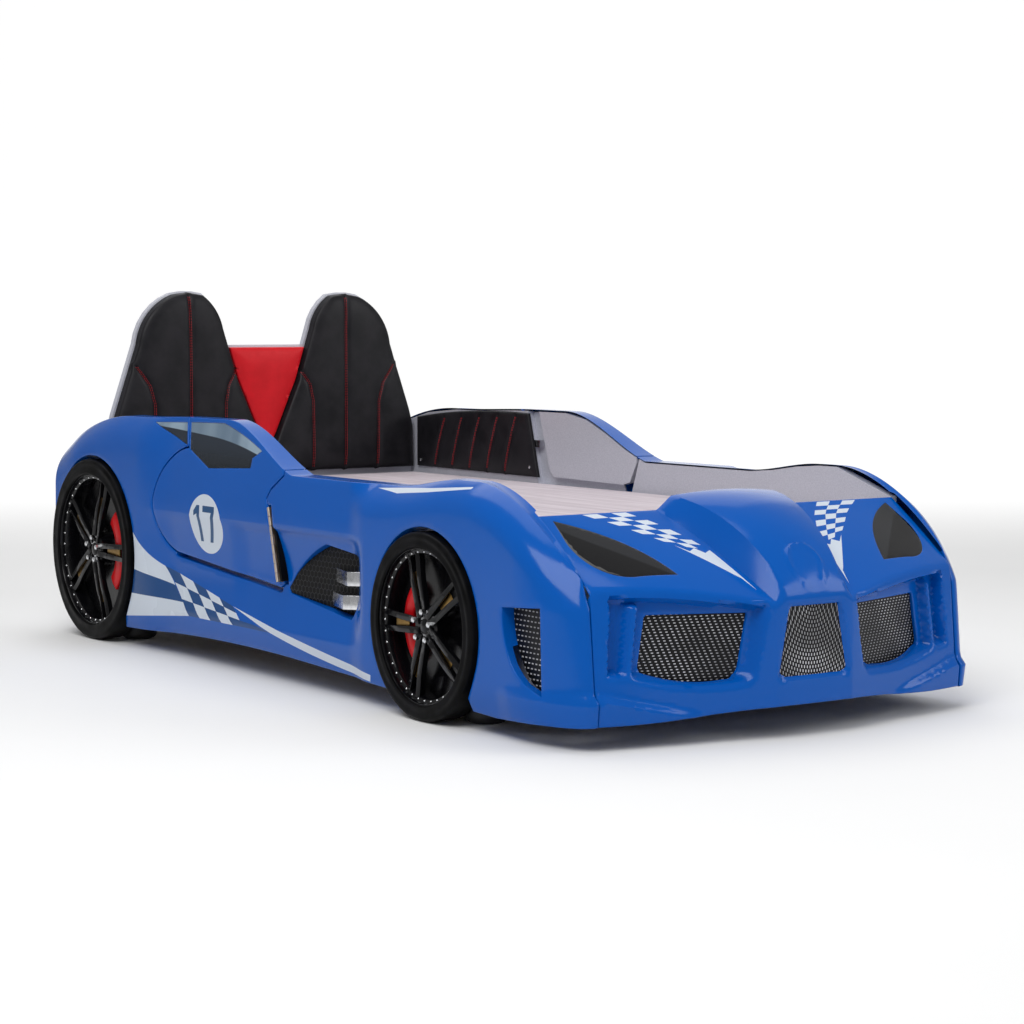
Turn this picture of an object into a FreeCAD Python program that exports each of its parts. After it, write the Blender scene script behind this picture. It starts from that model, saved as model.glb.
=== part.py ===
import FreeCAD
import Part
import math
import os
from FreeCAD import Vector, Placement, Rotation

# A children's bed shaped like an open racing car. The nose points along -Y, the head end is at +Y, Z is up and
# the floor is z = 0. The right-hand side of the car (the side at -X) is modelled and mirrored for the left.

os.makedirs("parts", exist_ok=True)

# ---- driving dimensions, in millimetres ----
HALF_LENGTH = 1207.0          # nose and tail of the body
BOARD_INNER_X = 461.0         # inner face of the side boards: a 900 mm mattress lies between them
BOARD_THICK = 18.0            # melamine-faced board
SHELL_WALL = 5.0              # thermoformed plastic
FENDER_X = 535.0              # widest half-width of the plastic body
SEAM_X = 467.0                # where the side shells meet the front moulding
SEAM_GAP = 2.0
DECK_REAR_Y = -905.0          # rear edge of the bonnet, the foot end of the mattress
CORNER_Y = -925.0             # where the rounded front corner begins
CORNER_REACH = 178.0          # how far the corner runs forward from there
TAIL_Y = HALF_LENGTH
SHELL_LOW = 30.0              # the grids of the body surfaces start below the lowest edge
BELT_Z = 467.0                # top of the body beside the mattress
ROOF_Z = 579.0
HEAD_Y = 1019.0               # front face of the headboard
PAD_THICK = 34.0
MATTRESS_TOP = 396.0
MATTRESS_THICK = 150.0
DOOR_GAP = 4.0
ARC_SAG = 0.8                 # arcs are drawn in chords that stay this close to them, to keep the facets few

REAR_WHEEL = (955.0, 229.0)   # (y of the hub, outer radius); every wheel stands on the floor
FRONT_WHEEL = (-611.0, 192.0)
TYRE_FACE_X = 547.0
TYRE_BACK_X = 486.0
ARCH_CLEAR = 9.0

HINGE_X = 526.0               # piano hinge: its pin leans a little in the plane of the door
HINGE_TOP = (46.0, 392.0)     # (y, z)
HINGE_LOW = (5.0, 227.0)
KNUCKLE_R = 4.0
PIN_R = 1.6
PIN_CLEAR = 0.05
KNUCKLES = 5
HINGE_WALL = 4.3              # the pin's line to the walls of the gap that the leaves are screwed to

LIP_RIDGE_X = 96.0            # half-width of the blunt nose
NOSE_Y = -1190.0              # bonnet lip at the nose
LIP_SLOPE = 0.288             # the lip runs back this much per millimetre outwards
SPLITTER_OUT = 14.0           # how far the lowest lip stands forward
SPLITTER_TOP = 92.0
SPLITTER_LOW = 48.0


# ---- small drawing tools ----
def smooth(t):
    """Smooth step from 0 to 1."""
    t = min(1.0, max(0.0, t))
    return t * t * (3.0 - 2.0 * t)


def arc_chords(start, middle, end):
    """Points of the arc through three points, close enough for its chords to stay within ARC_SAG."""
    arc = Part.Arc(Vector(*start), Vector(*middle), Vector(*end)).toShape()
    radius = arc.Curve.Radius
    sweep = arc.Length / radius
    count = math.ceil(sweep / (2.0 * math.acos(1.0 - ARC_SAG / radius)))
    return [(p.x, p.y) for p in arc.discretize(max(2, count) + 1)]


def outline_points(strokes, grow):
    """Corners of an outline drawn in strokes, moved outwards by `grow`.

    One point is a corner, two are a line and three an arc; gaps between strokes are lines. A corner moves along
    its mitre: p + grow * (n1 + n2) / (1 + n1 . n2), with n1 and n2 the outward normals of its two edges."""
    points = []
    for stroke in strokes:
        points += arc_chords(*stroke) if len(stroke) == 3 else stroke
    points = [p for i, p in enumerate(points) if math.dist(p, points[i - 1]) > 0.001]
    pairs = list(zip(points, points[1:] + points[:1]))
    turn = math.copysign(1.0, sum(a[0] * b[1] - b[0] * a[1] for a, b in pairs))
    normals = [(turn * (b[1] - a[1]) / math.dist(a, b), turn * (a[0] - b[0]) / math.dist(a, b)) for a, b in pairs]
    moved = []
    for i, (u, v) in enumerate(points):
        n1, n2 = normals[i - 1], normals[i]
        reach = grow / max(0.2, 1.0 + n1[0] * n2[0] + n1[1] * n2[1])
        moved.append((u + reach * (n1[0] + n2[0]), v + reach * (n1[1] + n2[1])))
    return moved


def corners(*points):
    """A polygon as strokes."""
    return [[p] for p in points]


def plate(strokes, place, axis, start, end, grow):
    """Plate whose outline lies where `place` puts it, between two distances along an axis."""
    points = [place(*p) for p in outline_points(strokes, grow)]
    face = Part.Face(Part.makePolygon(points + points[:1]))
    face.translate(axis * start)
    solid = face.extrude(axis * (end - start))
    if solid.Volume < 0.0:
        solid.reverse()
    return solid


def side_plate(strokes, x0, x1, grow=0.0):
    """Plate whose outline is drawn in (y, z), between two x; `grow` moves the outline outwards."""
    return plate(strokes, lambda y, z: Vector(0, y, z), Vector(1, 0, 0), x0, x1, grow)


def plan_plate(strokes, z0, z1, grow=0.0):
    """Plate whose outline is drawn in (x, y), between two z."""
    return plate(strokes, lambda x, y: Vector(x, y, 0), Vector(0, 0, 1), z0, z1, grow)


def front_plate(strokes, y0, y1, grow=0.0):
    """Plate whose outline is drawn in (x, z), between two y."""
    return plate(strokes, lambda x, z: Vector(x, 0, z), Vector(0, 1, 0), y0, y1, grow)


def block(x0, x1, y0, y1, z0, z1):
    return Part.makeBox(x1 - x0, y1 - y0, z1 - z0, Vector(x0, y0, z0))


def mirrored(shape):
    return shape.mirror(Vector(0, 0, 0), Vector(1, 0, 0))


def solids_of(shape, smallest=200.0):
    """The solids of a cut, without slivers."""
    kept = [s for s in shape.Solids if s.Volume > smallest]
    return kept[0] if len(kept) == 1 else Part.makeCompound(kept)


def save(name, shape):
    shape.exportStep("parts/" + name + ".step")


def save_pair(name, shape):
    save("right_" + name, shape)
    save("left_" + name, mirrored(shape))


# ---- the form of the body ----
def top_height(y):
    """Height of the side's upper edge: bonnet corner, front wing, belt, windscreen pillar, roof, tail."""
    if y < -736.0:
        return 491.0 - 0.00376 * (-736.0 - y) ** 1.85
    if y < -437.0:
        return BELT_Z + 24.0 * smooth((-437.0 - y) / 240.0)
    if y < -45.0:
        return BELT_Z
    if y < 285.0:
        t = (y + 45.0) / 330.0
        return BELT_Z + (ROOF_Z - BELT_Z) * 0.5 * (math.sin(0.5 * math.pi * t) + smooth(t))
    if y < 797.0:
        return ROOF_Z - 7.0 * smooth((y - 430.0) / 330.0)
    return 572.0 - 102.0 * ((y - 797.0) / 410.0) ** 2


def side_half_width(y, z):
    """Half-width of the body side: full over the wheels, hollowed under a crease between them."""
    top = top_height(y)
    back = smooth((y - 300.0) / 300.0)
    crown = 52.0 - 14.0 * back
    crown_high = 70.0 + 25.0 * back
    s = min(1.0, max(0.0, (z - top + crown_high) / crown_high))
    wing = FENDER_X - crown * s ** 2.5 - 8.0 * max(0.0, (110.0 - z) / 60.0) ** 2
    wing -= 9.0 * smooth((y - 1050.0) / 160.0)
    if z > 350.0:
        flank = 529.0 - 30.0 * ((z - 350.0) / 228.0) ** 1.6
    elif z > 120.0:
        flank = 529.0 - 16.0 * math.cos(math.pi * max(-0.5, min(0.5, (z - 235.0) / 230.0))) ** 2
    else:
        flank = 529.0 - 11.0 * ((120.0 - z) / 65.0) ** 2
    between = smooth((y + 380.0) / 80.0) * (1.0 - smooth((y - 520.0) / 190.0))
    return wing * (1.0 - between) + flank * between


def corner_reach(z):
    """How far the front corner runs forward at height z: it leans back towards the bonnet."""
    return CORNER_REACH - 0.1 * max(0.0, z - 100.0) - 0.35 * max(0.0, z - 268.0)


def body_x(y, z):
    """Half-width of the body with its front corner rounded off to the seam as a quarter of an ellipse."""
    t = min(1.0, max(0.0, (CORNER_Y - y) / corner_reach(z)))
    return SEAM_X + (side_half_width(y, z) - SEAM_X) * math.sqrt(1.0 - t * t)


def side_section(y, inset):
    """Cross-section of the right side at y, closed along the board: straight walls between its crease lines."""
    top = top_height(y)
    crease = min(350.0, top - 78.0)
    heights = (SHELL_LOW, 110.0, min(235.0, crease - 50.0), crease, top - 42.0, top - 14.0, top)
    if inset:
        heights = (0.0, 110.0, heights[2], crease, top - 26.0, top - inset)
    points = [Vector(inset - body_x(y, max(SHELL_LOW, z)), y, z) for z in heights]
    points += [Vector(-455.0, y, heights[-1]), Vector(-455.0, y, heights[0])]
    return Part.makePolygon(points + points[:1])


def side_body(stations, inset=0.0):
    return Part.makeLoft([side_section(y, inset) for y in stations], True, True)


def arch_arc(wheel, z_start, z_end):
    """Wheel arch from its rear foot over the top to its front foot."""
    hub, radius = wheel
    r = radius + ARCH_CLEAR
    a0 = math.asin((z_start - radius) / r)
    a1 = math.pi - math.asin((z_end - radius) / r)
    return [(hub + r * math.cos(a), radius + r * math.sin(a)) for a in (a0, 0.5 * (a0 + a1), a1)]


# ---- outlines on the side, (y, z) ----
ABOVE = 650.0                 # outlines end above the body, whose own upper edge trims them
REAR_ARCH = arch_arc(REAR_WHEEL, 245.0, 74.0)
FRONT_ARCH = arch_arc(FRONT_WHEEL, 45.0, 66.0)
SIDE_OUTLINE = [
    [(TAIL_Y, ABOVE), (TAIL_Y, 245.0)],
    REAR_ARCH,
    [(785.0, 46.0)],
    [(599.0, 53.0), (294.0, 64.0), (-81.0, 60.0)],
    FRONT_ARCH,
    [(-778.0, 40.0)],
    [(-860.0, 37.0), (-995.0, 43.0)],
    [(-1160.0, SPLITTER_LOW), (-1160.0, ABOVE)],
]


def hinge_y(z):
    """Y of the hinge pin's line at height z."""
    return HINGE_LOW[0] + (HINGE_TOP[0] - HINGE_LOW[0]) * (z - HINGE_LOW[1]) / (HINGE_TOP[1] - HINGE_LOW[1])


DOOR_OUTLINE = [
    [(-10.0, ABOVE), (498.0, ABOVE)],
    [(459.0, 507.0)],
    [(459.0, 507.0), (562.0, 463.0), (618.0, 376.0)],
    [(618.0, 376.0), (592.0, 299.0), (518.0, 254.0)],
    [(24.0, 213.0)],
    [(hinge_y(222.0) + HINGE_WALL, 222.0), (hinge_y(397.0) + HINGE_WALL, 397.0)],
    [(60.0, 412.0), (42.0, 434.0)],
    [(-10.0, top_height(-10.0))],
]
HINGE_SLOT = corners((hinge_y(222.0) - HINGE_WALL, 222.0), (hinge_y(222.0) + 9.0, 222.0),
                     (hinge_y(397.0) + 9.0, 397.0), (hinge_y(397.0) - HINGE_WALL, 397.0))
DOOR_WINDOW = [
    [(469.0, 567.0), (303.0, 570.0)],
    [(303.0, 570.0), (190.0, 543.0), (103.0, 514.0)],
    [(143.0, 497.0), (146.0, 474.0)],
    [(350.0, 464.0), (453.0, 504.0)],
]
QUARTER_WINDOW = corners((650.0, 562.0), (488.0, 566.0), (470.0, 512.0))
SIDE_VENT = [
    [(-192.0, 325.0), (-345.0, 309.0)],
    [(-350.0, 295.0), (-330.0, 238.0), (-296.0, 172.0)],
    [(-22.0, 205.0), (-14.0, 216.0)],
    [(-48.0, 252.0), (-104.0, 289.0), (-192.0, 325.0)],
]
CORNER_VENT = [
    [(-893.0, 258.0), (-992.0, 266.0)],
    [(-990.0, 101.0)],
    [(-955.0, 117.0), (-909.0, 180.0), (-893.0, 258.0)],
]
STATIONS = [1209.0, 1120.0, 1030.0, 930.0, 797.0, 720.0, 660.0, 600.0, 520.0, 430.0, 285.0, 200.0, 120.0, 40.0,
            -45.0, -300.0, -325.0, -355.0, -380.0, -437.0, -520.0, -600.0, -677.0, -736.0, CORNER_Y, -985.0, -1030.0,
            -1062.0, -1085.0, CORNER_Y - CORNER_REACH]
HOLLOW_STATIONS = [1202.0, 1000.0, 797.0, 610.0, 285.0, 120.0, -45.0, -340.0, -437.0, -677.0, -880.0]
SIDE_FULL = side_body(STATIONS)
SIDE_HOLLOW = side_body(HOLLOW_STATIONS, SHELL_WALL)


def side_skin(strokes, shift, thick, shrink):
    """A pane that follows the body side, `shift` under its surface."""
    outer = SIDE_FULL.copy()
    outer.translate(Vector(shift, 0, 0))
    inner = SIDE_FULL.copy()
    inner.translate(Vector(shift + thick, 0, 0))
    return solids_of(side_plate(strokes, -600.0, -470.0, -shrink).common(outer).cut(inner))


def sink(strokes, depth):
    """What to cut from the body for a step of `depth` round a pane."""
    floor = SIDE_FULL.copy()
    floor.translate(Vector(depth, 0, 0))
    return side_plate(strokes, -600.0, -470.0).cut(floor)


def corner_lip():
    """Lowest lip of the front corner, from behind the corner vent round to the front moulding's lip."""
    def level(z, out):
        reach = corner_reach(z)
        half = FENDER_X - SEAM_X
        points = [(-SEAM_X, CORNER_Y - reach - out)]
        for turn in (72.0, 54.0, 36.0, 18.0, 0.0):
            a = math.radians(turn)
            points.append((-SEAM_X - (half + 0.4 * out) * math.cos(a), CORNER_Y - (reach + out) * math.sin(a)))
        points += [(-FENDER_X + 14.0, CORNER_Y + 60.0), (-SEAM_X, CORNER_Y + 60.0)]
        return Part.makePolygon([Vector(x, y, z) for x, y in points + points[:1]])
    lip = Part.makeLoft([level(SPLITTER_LOW, SPLITTER_OUT - 4.0), level(SPLITTER_TOP, SPLITTER_OUT),
                         level(SPLITTER_TOP + 14.0, 0.0)], True, True)
    return lip.cut(block(-(BOARD_INNER_X + BOARD_THICK), -400.0, DECK_REAR_Y - SEAM_GAP, 0.0, 0.0, 200.0))


# ---- side shells with their vents and quarter windows ----
def make_side_shell():
    """Tub open towards the board, with walls round the doorway, the vents and the hinge's gap."""
    back = -(BOARD_INNER_X + BOARD_THICK)
    outline = side_plate(SIDE_OUTLINE, -600.0, back)
    corner = side_plate(SIDE_OUTLINE, back, -SEAM_X).common(
        block(back, -SEAM_X, -1200.0, DECK_REAR_Y - SEAM_GAP, 0.0, 600.0))
    full = outline.fuse(corner).common(SIDE_FULL)
    dropped = side_plate(DOOR_OUTLINE, -600.0, -400.0)
    dropped.translate(Vector(0, 0, -11.0))
    sill_gap = dropped.common(block(-600.0, -400.0, 14.0, 530.0, 180.0, 300.0))
    hollow = side_plate(SIDE_OUTLINE, -600.0, -400.0, -SHELL_WALL).common(SIDE_HOLLOW)
    for walls in (side_plate(DOOR_OUTLINE, -600.0, -400.0, DOOR_GAP + SHELL_WALL),
                  sill_gap,
                  side_plate(HINGE_SLOT, -600.0, -400.0, SHELL_WALL),
                  side_plate(SIDE_VENT, -600.0, -400.0, SHELL_WALL),
                  side_plate(CORNER_VENT, -600.0, -400.0, SHELL_WALL),
                  block(-SEAM_X - SHELL_WALL, -400.0, -1200.0, -850.0, 0.0, 600.0)):
        hollow = hollow.cut(walls)
    shell = full.cut(hollow).fuse(corner_lip())
    for opening in (side_plate(DOOR_OUTLINE, -600.0, -400.0, DOOR_GAP),
                    sill_gap,
                    side_plate(HINGE_SLOT, -600.0, -400.0),
                    side_plate(SIDE_VENT, -600.0, -400.0),
                    side_plate(CORNER_VENT, -600.0, -400.0),
                    sink(QUARTER_WINDOW, 3.0)):
        shell = shell.cut(opening)
    return solids_of(shell, 3000.0)


def make_side_board():
    """Melamine-faced board inside the shell, with the doorway cut low enough to climb through."""
    board = block(-(BOARD_INNER_X + BOARD_THICK), -BOARD_INNER_X, DECK_REAR_Y, TAIL_Y - 8.0, 62.0, ABOVE)
    trim = SIDE_FULL.copy()
    trim.translate(Vector(0, 0, -4.0))
    doorway = corners((-23.0, 470.0), (6.0, 388.0), (404.0, 388.0), (455.0, 580.0), (455.0, ABOVE), (-23.0, ABOVE))
    return solids_of(board.common(trim).cut(side_plate(doorway, -600.0, -400.0)))


# ---- doors: shell, inner board, window and piano hinge ----
def make_door_shell():
    """Tub open towards its board, with a step for the window pane."""
    back = -(BOARD_INNER_X + BOARD_THICK + 1.0)
    full = side_plate(DOOR_OUTLINE, -600.0, back).common(SIDE_FULL)
    hollow = side_plate(DOOR_OUTLINE, -600.0, -400.0, -SHELL_WALL).common(SIDE_HOLLOW)
    return solids_of(full.cut(hollow).cut(sink(DOOR_WINDOW, 3.0)), 3000.0)


def make_door_board():
    """Rebated board: a thin panel inside the shell's rim, and the thick part that fills the doorway."""
    board_back = -(BOARD_INNER_X + BOARD_THICK)
    doorway = corners((-12.0, 461.0), (15.0, 412.0), (46.0, 405.0), (335.0, 409.0), (353.0, 424.0), (403.0, 578.0),
                      (403.0, ABOVE), (-12.0, ABOVE))
    within = side_plate(DOOR_OUTLINE, board_back - DOOR_PANEL, -400.0, -SHELL_WALL - 0.3)
    room = SIDE_HOLLOW.copy()
    room.translate(Vector(0.3, 0, -0.3))
    panel = within.common(room).common(block(board_back - DOOR_PANEL, board_back - 0.3, -50.0, 650.0, 150.0, ABOVE))
    thick = side_plate(doorway, board_back + 0.3, -BOARD_INNER_X)
    core = side_plate(doorway, board_back - 1.0, board_back + 1.0).common(within).common(room)
    trim = SIDE_FULL.copy()
    trim.translate(Vector(0, 0, -SHELL_WALL - 0.3))
    return solids_of(panel.fuse([core, thick.common(trim)]).removeSplitter())


DOOR_PANEL = 8.0
HINGE_LENGTH = math.dist(HINGE_TOP, HINGE_LOW)
HINGE_TILT = math.degrees(math.atan2(HINGE_TOP[0] - HINGE_LOW[0], HINGE_TOP[1] - HINGE_LOW[1]))
HINGE_PLACE = Placement(Vector(-HINGE_X, HINGE_LOW[0], HINGE_LOW[1]), Rotation(Vector(1, 0, 0), -HINGE_TILT))
LEAF_WIDTH = 16.0
LEAF_THICK = 1.2


def hinge_leaf(side, first):
    """One leaf with every second knuckle rolled round the pin; `side` is +1 for the door, -1 for the body."""
    pitch = HINGE_LENGTH / KNUCKLES
    y0 = side * (KNUCKLE_R - 0.5 * LEAF_THICK) - 0.5 * LEAF_THICK
    leaf = Part.makeBox(LEAF_WIDTH - KNUCKLE_R - 0.6, LEAF_THICK, HINGE_LENGTH, Vector(KNUCKLE_R + 0.6, y0, 0))
    for i in range(first, KNUCKLES, 2):
        z0 = i * pitch + 0.15
        tall = pitch - 0.3
        leaf = leaf.fuse(Part.makeCylinder(KNUCKLE_R, tall, Vector(0, 0, z0)))
        leaf = leaf.fuse(Part.makeBox(LEAF_WIDTH - 1.0, LEAF_THICK, tall, Vector(0, y0, z0)))
    leaf = leaf.cut(Part.makeCylinder(PIN_R + PIN_CLEAR, HINGE_LENGTH + 10.0, Vector(0, 0, -5.0)))
    leaf.Placement = HINGE_PLACE
    return leaf


def hinge_pin():
    pin = Part.makeCylinder(PIN_R, HINGE_LENGTH)
    pin.Placement = HINGE_PLACE
    return pin


# ---- panels behind the openings ----
def make_side_vent():
    """Honeycomb panel in the side vent: it slopes inwards behind the front wing."""
    wedge = plan_plate(corners((-508.0, 0.0), (-482.0, -355.0), (-479.3, -355.0), (-479.3, 0.0)), 150.0, 340.0)
    return solids_of(side_plate(SIDE_VENT, -600.0, -400.0, -0.5).common(wedge))


def make_vent_outlets():
    """Two angular outlets: wedges in plan that stand out of the vent's panel."""
    outlets = []
    room = side_plate(SIDE_VENT, -600.0, -400.0, -0.5).cut(make_side_vent())
    for y, z in ((-214.0, 244.0), (-196.0, 192.0)):
        plan = corners((-492.0, y), (-521.0, y - 72.0), (-517.0, y - 80.0), (-486.0, y - 118.0), (-484.0, y - 60.0))
        outlets.append(solids_of(plan_plate(plan, z, z + 31.0).common(room)))
    return Part.makeCompound(outlets)


def make_corner_vent():
    """Perforated panel behind the corner vent."""
    return solids_of(side_plate(CORNER_VENT, -508.0, -504.0, -0.5))


# ---- front moulding: bonnet, nose, grilles and splitter ----
def nose_line(x, z):
    """Front face of the nose in plan: blunt in the middle, raked back to the corners, leaning forward below."""
    lip = NOSE_Y + LIP_SLOPE * max(0.0, abs(x) - LIP_RIDGE_X) - 3.0 * max(0.0, 1.0 - (x / LIP_RIDGE_X) ** 2)
    lean = 1.0 - min(1.0, max(0.0, (z - 100.0) / 200.0))
    return lip - 18.0 * lean * (x / SEAM_X) ** 2


def ridge_x(y):
    """Half-width of the raised middle of the bonnet: its two ridges run together towards the nose."""
    return 169.0 - 73.0 * (-908.0 - y) / 282.0


def bonnet_z(x, y):
    """Height of the bonnet: a sloping sheet that droops at the corners, with a blunt raised middle."""
    t = (-908.0 - y) / 282.0
    sheet = 430.0 - 165.0 * t + 9.0 * math.sin(math.pi * min(1.0, max(0.0, t)))
    droop = 36.0 * max(0.0, (-905.0 - y) / 176.0) * (min(abs(x), SEAM_X) / SEAM_X) ** 4
    run = min(1.0, max(0.0, (-905.0 - y) / 293.0))
    middle = 262.0 + 204.0 * (1.0 - run * run) ** 0.714 - sheet
    u = min(1.0, abs(x) / ridge_x(y))
    return sheet - droop + middle * (1.0 - u ** 6)


BONNET_YS = [-903.0, -960.0, -1015.0, -1065.0, -1105.0, -1135.0, -1160.0, -1178.0, -1200.0]
RIDGE_STEPS = [1.0, 0.9, 0.65, 0.0]
NOSE_XS = (0.0, 50.0, LIP_RIDGE_X, 200.0, 330.0, SEAM_X - SEAM_GAP)


def bonnet_body(drop, low, ys=BONNET_YS, steps=RIDGE_STEPS):
    """Everything under the bonnet, lowered by `drop`."""
    sections = []
    for y in ys:
        xs = [SEAM_X, 380.0] + [step * ridge_x(y) for step in steps]
        xs += [-x for x in xs[-2::-1]]
        points = [Vector(x, y, bonnet_z(x, y) - drop) for x in xs]
        points += [Vector(-SEAM_X, y, low), Vector(SEAM_X, y, low)]
        sections.append(Part.makePolygon(points + points[:1]))
    return Part.makeLoft(sections, True, True)


def nose_body(levels, inset=0.0, rear=DECK_REAR_Y):
    """Upright block behind the nose line; each level is (z, how far it stands out)."""
    side = SEAM_X - SEAM_GAP - inset
    sections = []
    for z, out in levels:
        xs = [min(x, side) for x in NOSE_XS]
        xs = [-x for x in xs[::-1]] + xs[1:]
        points = [Vector(x, nose_line(x, z) - out + inset, z) for x in xs]
        points += [Vector(side, rear, z), Vector(-side, rear, z)]
        sections.append(Part.makePolygon(points + points[:1]))
    return Part.makeLoft(sections, True, True)


MOUTH = [[(-112.0, 262.0), (-426.0, 290.0)], [(-440.0, 138.0)],
         [(-385.0, 130.0), (-270.0, 107.0), (-150.0, 110.0)], [(-136.0, 126.0), (-112.0, 262.0)]]
GRILLE = [[(-120.0, 246.0), (-364.0, 258.0)], [(-384.0, 150.0)],
          [(-384.0, 150.0), (-275.0, 122.0), (-165.0, 124.0)], [(-142.0, 140.0)]]
CENTRE_GRILLE = corners((-60.0, 256.0), (60.0, 256.0), (82.0, 130.0), (72.0, 122.0), (-72.0, 122.0), (-82.0, 130.0))
MOUTH_DEPTH = 24.0


def raked_slab(front, back):
    """Upright slab between two offsets behind the raked nose line, on the right side."""
    def y_at(x):
        return NOSE_Y + LIP_SLOPE * (abs(x) - LIP_RIDGE_X)
    slab = corners((-90.0, y_at(90.0) + front), (-455.0, y_at(455.0) + front),
                   (-455.0, y_at(455.0) + back), (-90.0, y_at(90.0) + back))
    return plan_plate(slab, 60.0, 330.0)


def mouth(margin):
    """Hollow of the side mouth, grown by `margin`, down to its raked floor."""
    return front_plate(MOUTH, -1300.0, -980.0, margin).common(raked_slab(-200.0, MOUTH_DEPTH + margin))


HEADLIGHT = [
    [(-434.0, -919.0), (-341.0, -981.0), (-265.0, -1097.0)],
    [(-265.0, -1097.0), (-346.0, -1085.0)],
    [(-346.0, -1085.0), (-424.0, -1042.0), (-443.0, -975.0)],
]
BONNET_WALL = 7.0
LENS_SEAT = 4.0


def make_front_shell():
    """Thermoformed front: open below and behind, with walls round its mouths and grilles."""
    full = nose_body([(SPLITTER_LOW, 0.0), (100.0, 0.0), (300.0, 0.0), (480.0, 0.0)]).common(bonnet_body(0.0, 20.0))
    full = full.fuse(nose_body([(SPLITTER_LOW, SPLITTER_OUT - 4.0), (SPLITTER_TOP, SPLITTER_OUT),
                                (SPLITTER_TOP + 14.0, 0.0)]))
    hollow = nose_body([(0.0, 0.0), (480.0, 0.0)], SHELL_WALL, DECK_REAR_Y + 20.0)
    hollow = hollow.common(bonnet_body(BONNET_WALL, -20.0, BONNET_YS[::4], (1.0, 0.65, 0.0)))
    hollow = hollow.fuse(block(-SEAM_X + 7.0, SEAM_X - 7.0, DECK_REAR_Y - 30.0, DECK_REAR_Y + 20.0, 0.0, 409.0))
    hollow = hollow.cut(mouth(SHELL_WALL)).cut(mirrored(mouth(SHELL_WALL)))
    shell = full.cut(hollow)
    grille_hole = front_plate(GRILLE, -1300.0, -980.0).common(raked_slab(-60.0, 120.0))
    lamp_step = plan_plate(HEADLIGHT, 250.0, 500.0).cut(bonnet_body(LENS_SEAT, 20.0))
    finger_dent = Part.makeCylinder(17.0, 16.0, Vector(-362.0, DECK_REAR_Y + 2.0, 421.0), Vector(0, 0, 1))
    for cutter in (mouth(0.0), grille_hole, lamp_step, finger_dent):
        shell = shell.cut(cutter).cut(mirrored(cutter))
    return solids_of(shell.cut(front_plate(CENTRE_GRILLE, -1300.0, -1100.0)), 3000.0)


def make_headlight():
    """Smoked lens laid in a step of the bonnet."""
    lens = plan_plate(HEADLIGHT, 250.0, 500.0, -0.5).common(bonnet_body(0.5, 20.0))
    return solids_of(lens.cut(bonnet_body(LENS_SEAT - 0.2, 20.0)))


def make_grille():
    """Perforated panel pressed against the back of the mouth's floor."""
    behind = MOUTH_DEPTH + SHELL_WALL + 0.1
    return solids_of(front_plate(GRILLE, -1300.0, -980.0, 8.0).common(raked_slab(behind, behind + 3.0)))


def make_centre_grille():
    y = NOSE_Y + SHELL_WALL + 1.0
    return front_plate(CENTRE_GRILLE, y, y + 3.0, 8.0)


# ---- wheels ----
SPOKES = 5
SPOKE_FACE_X = 536.0
HUB_R = 42.0
NUT_RING = 30.0
BACK_X = BOARD_INNER_X + BOARD_THICK
RIM_FLOOR_X = 494.0
WHEEL_SIDES = 36              # the round parts repeat four times, so they are prisms
HUB_SIDES = 12


def turned(levels, sides):
    """Solid between regular polygons square to the axle: each level is (radius, |x|)."""
    def polygon(radius, x):
        turns = [2.0 * math.pi * i / sides for i in range(sides)]
        points = [Vector(-x, radius * math.cos(t), radius * math.sin(t)) for t in turns]
        return Part.makePolygon(points + points[:1])
    return Part.makeLoft([polygon(*level) for level in levels], True, True)


def at_hub(shape, wheel):
    shape = shape.copy()
    shape.translate(Vector(0, wheel[0], wheel[1]))
    return shape


def rim_radius(wheel):
    return 0.83 * wheel[1]


def make_tyre(wheel):
    """Tyre moulding: tread, bevelled shoulder and sidewall."""
    bore = rim_radius(wheel) + 0.3
    radius = wheel[1]
    tyre = turned([(radius, TYRE_BACK_X), (radius, TYRE_FACE_X - 10.0), (radius - 9.0, TYRE_FACE_X)], WHEEL_SIDES)
    return at_hub(tyre.cut(turned([(bore, TYRE_BACK_X - 9.0), (bore, TYRE_FACE_X + 9.0)], WHEEL_SIDES)), wheel)


def make_rim(wheel, first_deg):
    """Deep barrel with a closed back, a hub, and five spokes that each split into two bars."""
    rim = rim_radius(wheel)
    barrel = turned([(rim, BACK_X), (rim, TYRE_FACE_X - 6.0)], WHEEL_SIDES)
    barrel = barrel.cut(turned([(rim - 9.0, RIM_FLOOR_X), (rim - 6.0, TYRE_FACE_X - 6.0)], WHEEL_SIDES))
    body = barrel.fuse(turned([(HUB_R, RIM_FLOOR_X - 4.0), (HUB_R - 4.0, SPOKE_FACE_X - 8.0)], HUB_SIDES))
    reach = rim - 4.0
    bars = corners((14.0, 16.0), (reach, 25.0), (reach, 15.0), (60.0, 5.0), (60.0, -5.0), (reach, -15.0),
                   (reach, -25.0), (14.0, -16.0))
    spoke = side_plate(bars, -SPOKE_FACE_X, -(SPOKE_FACE_X - 15.0))
    for i in range(SPOKES):
        placed = spoke.copy()
        placed.rotate(Vector(0, 0, 0), Vector(1, 0, 0), first_deg + i * 360.0 / SPOKES)
        body = body.fuse(placed)
    return at_hub(body, wheel)


def make_caliper(wheel, facing):
    """Brake caliper behind the spokes: an arc-shaped block; `facing` is +1 towards the tail."""
    inner = 0.45 * rim_radius(wheel)
    outer = 0.68 * rim_radius(wheel)
    bend = [math.radians(a) for a in (-50.0, 0.0, 50.0)]
    far = [(facing * outer * math.cos(a), outer * math.sin(a)) for a in bend]
    near = [(facing * inner * math.cos(a), inner * math.sin(a)) for a in bend[::-1]]
    return at_hub(side_plate([far, near], -516.0, -RIM_FLOOR_X - 0.3), wheel)


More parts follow.
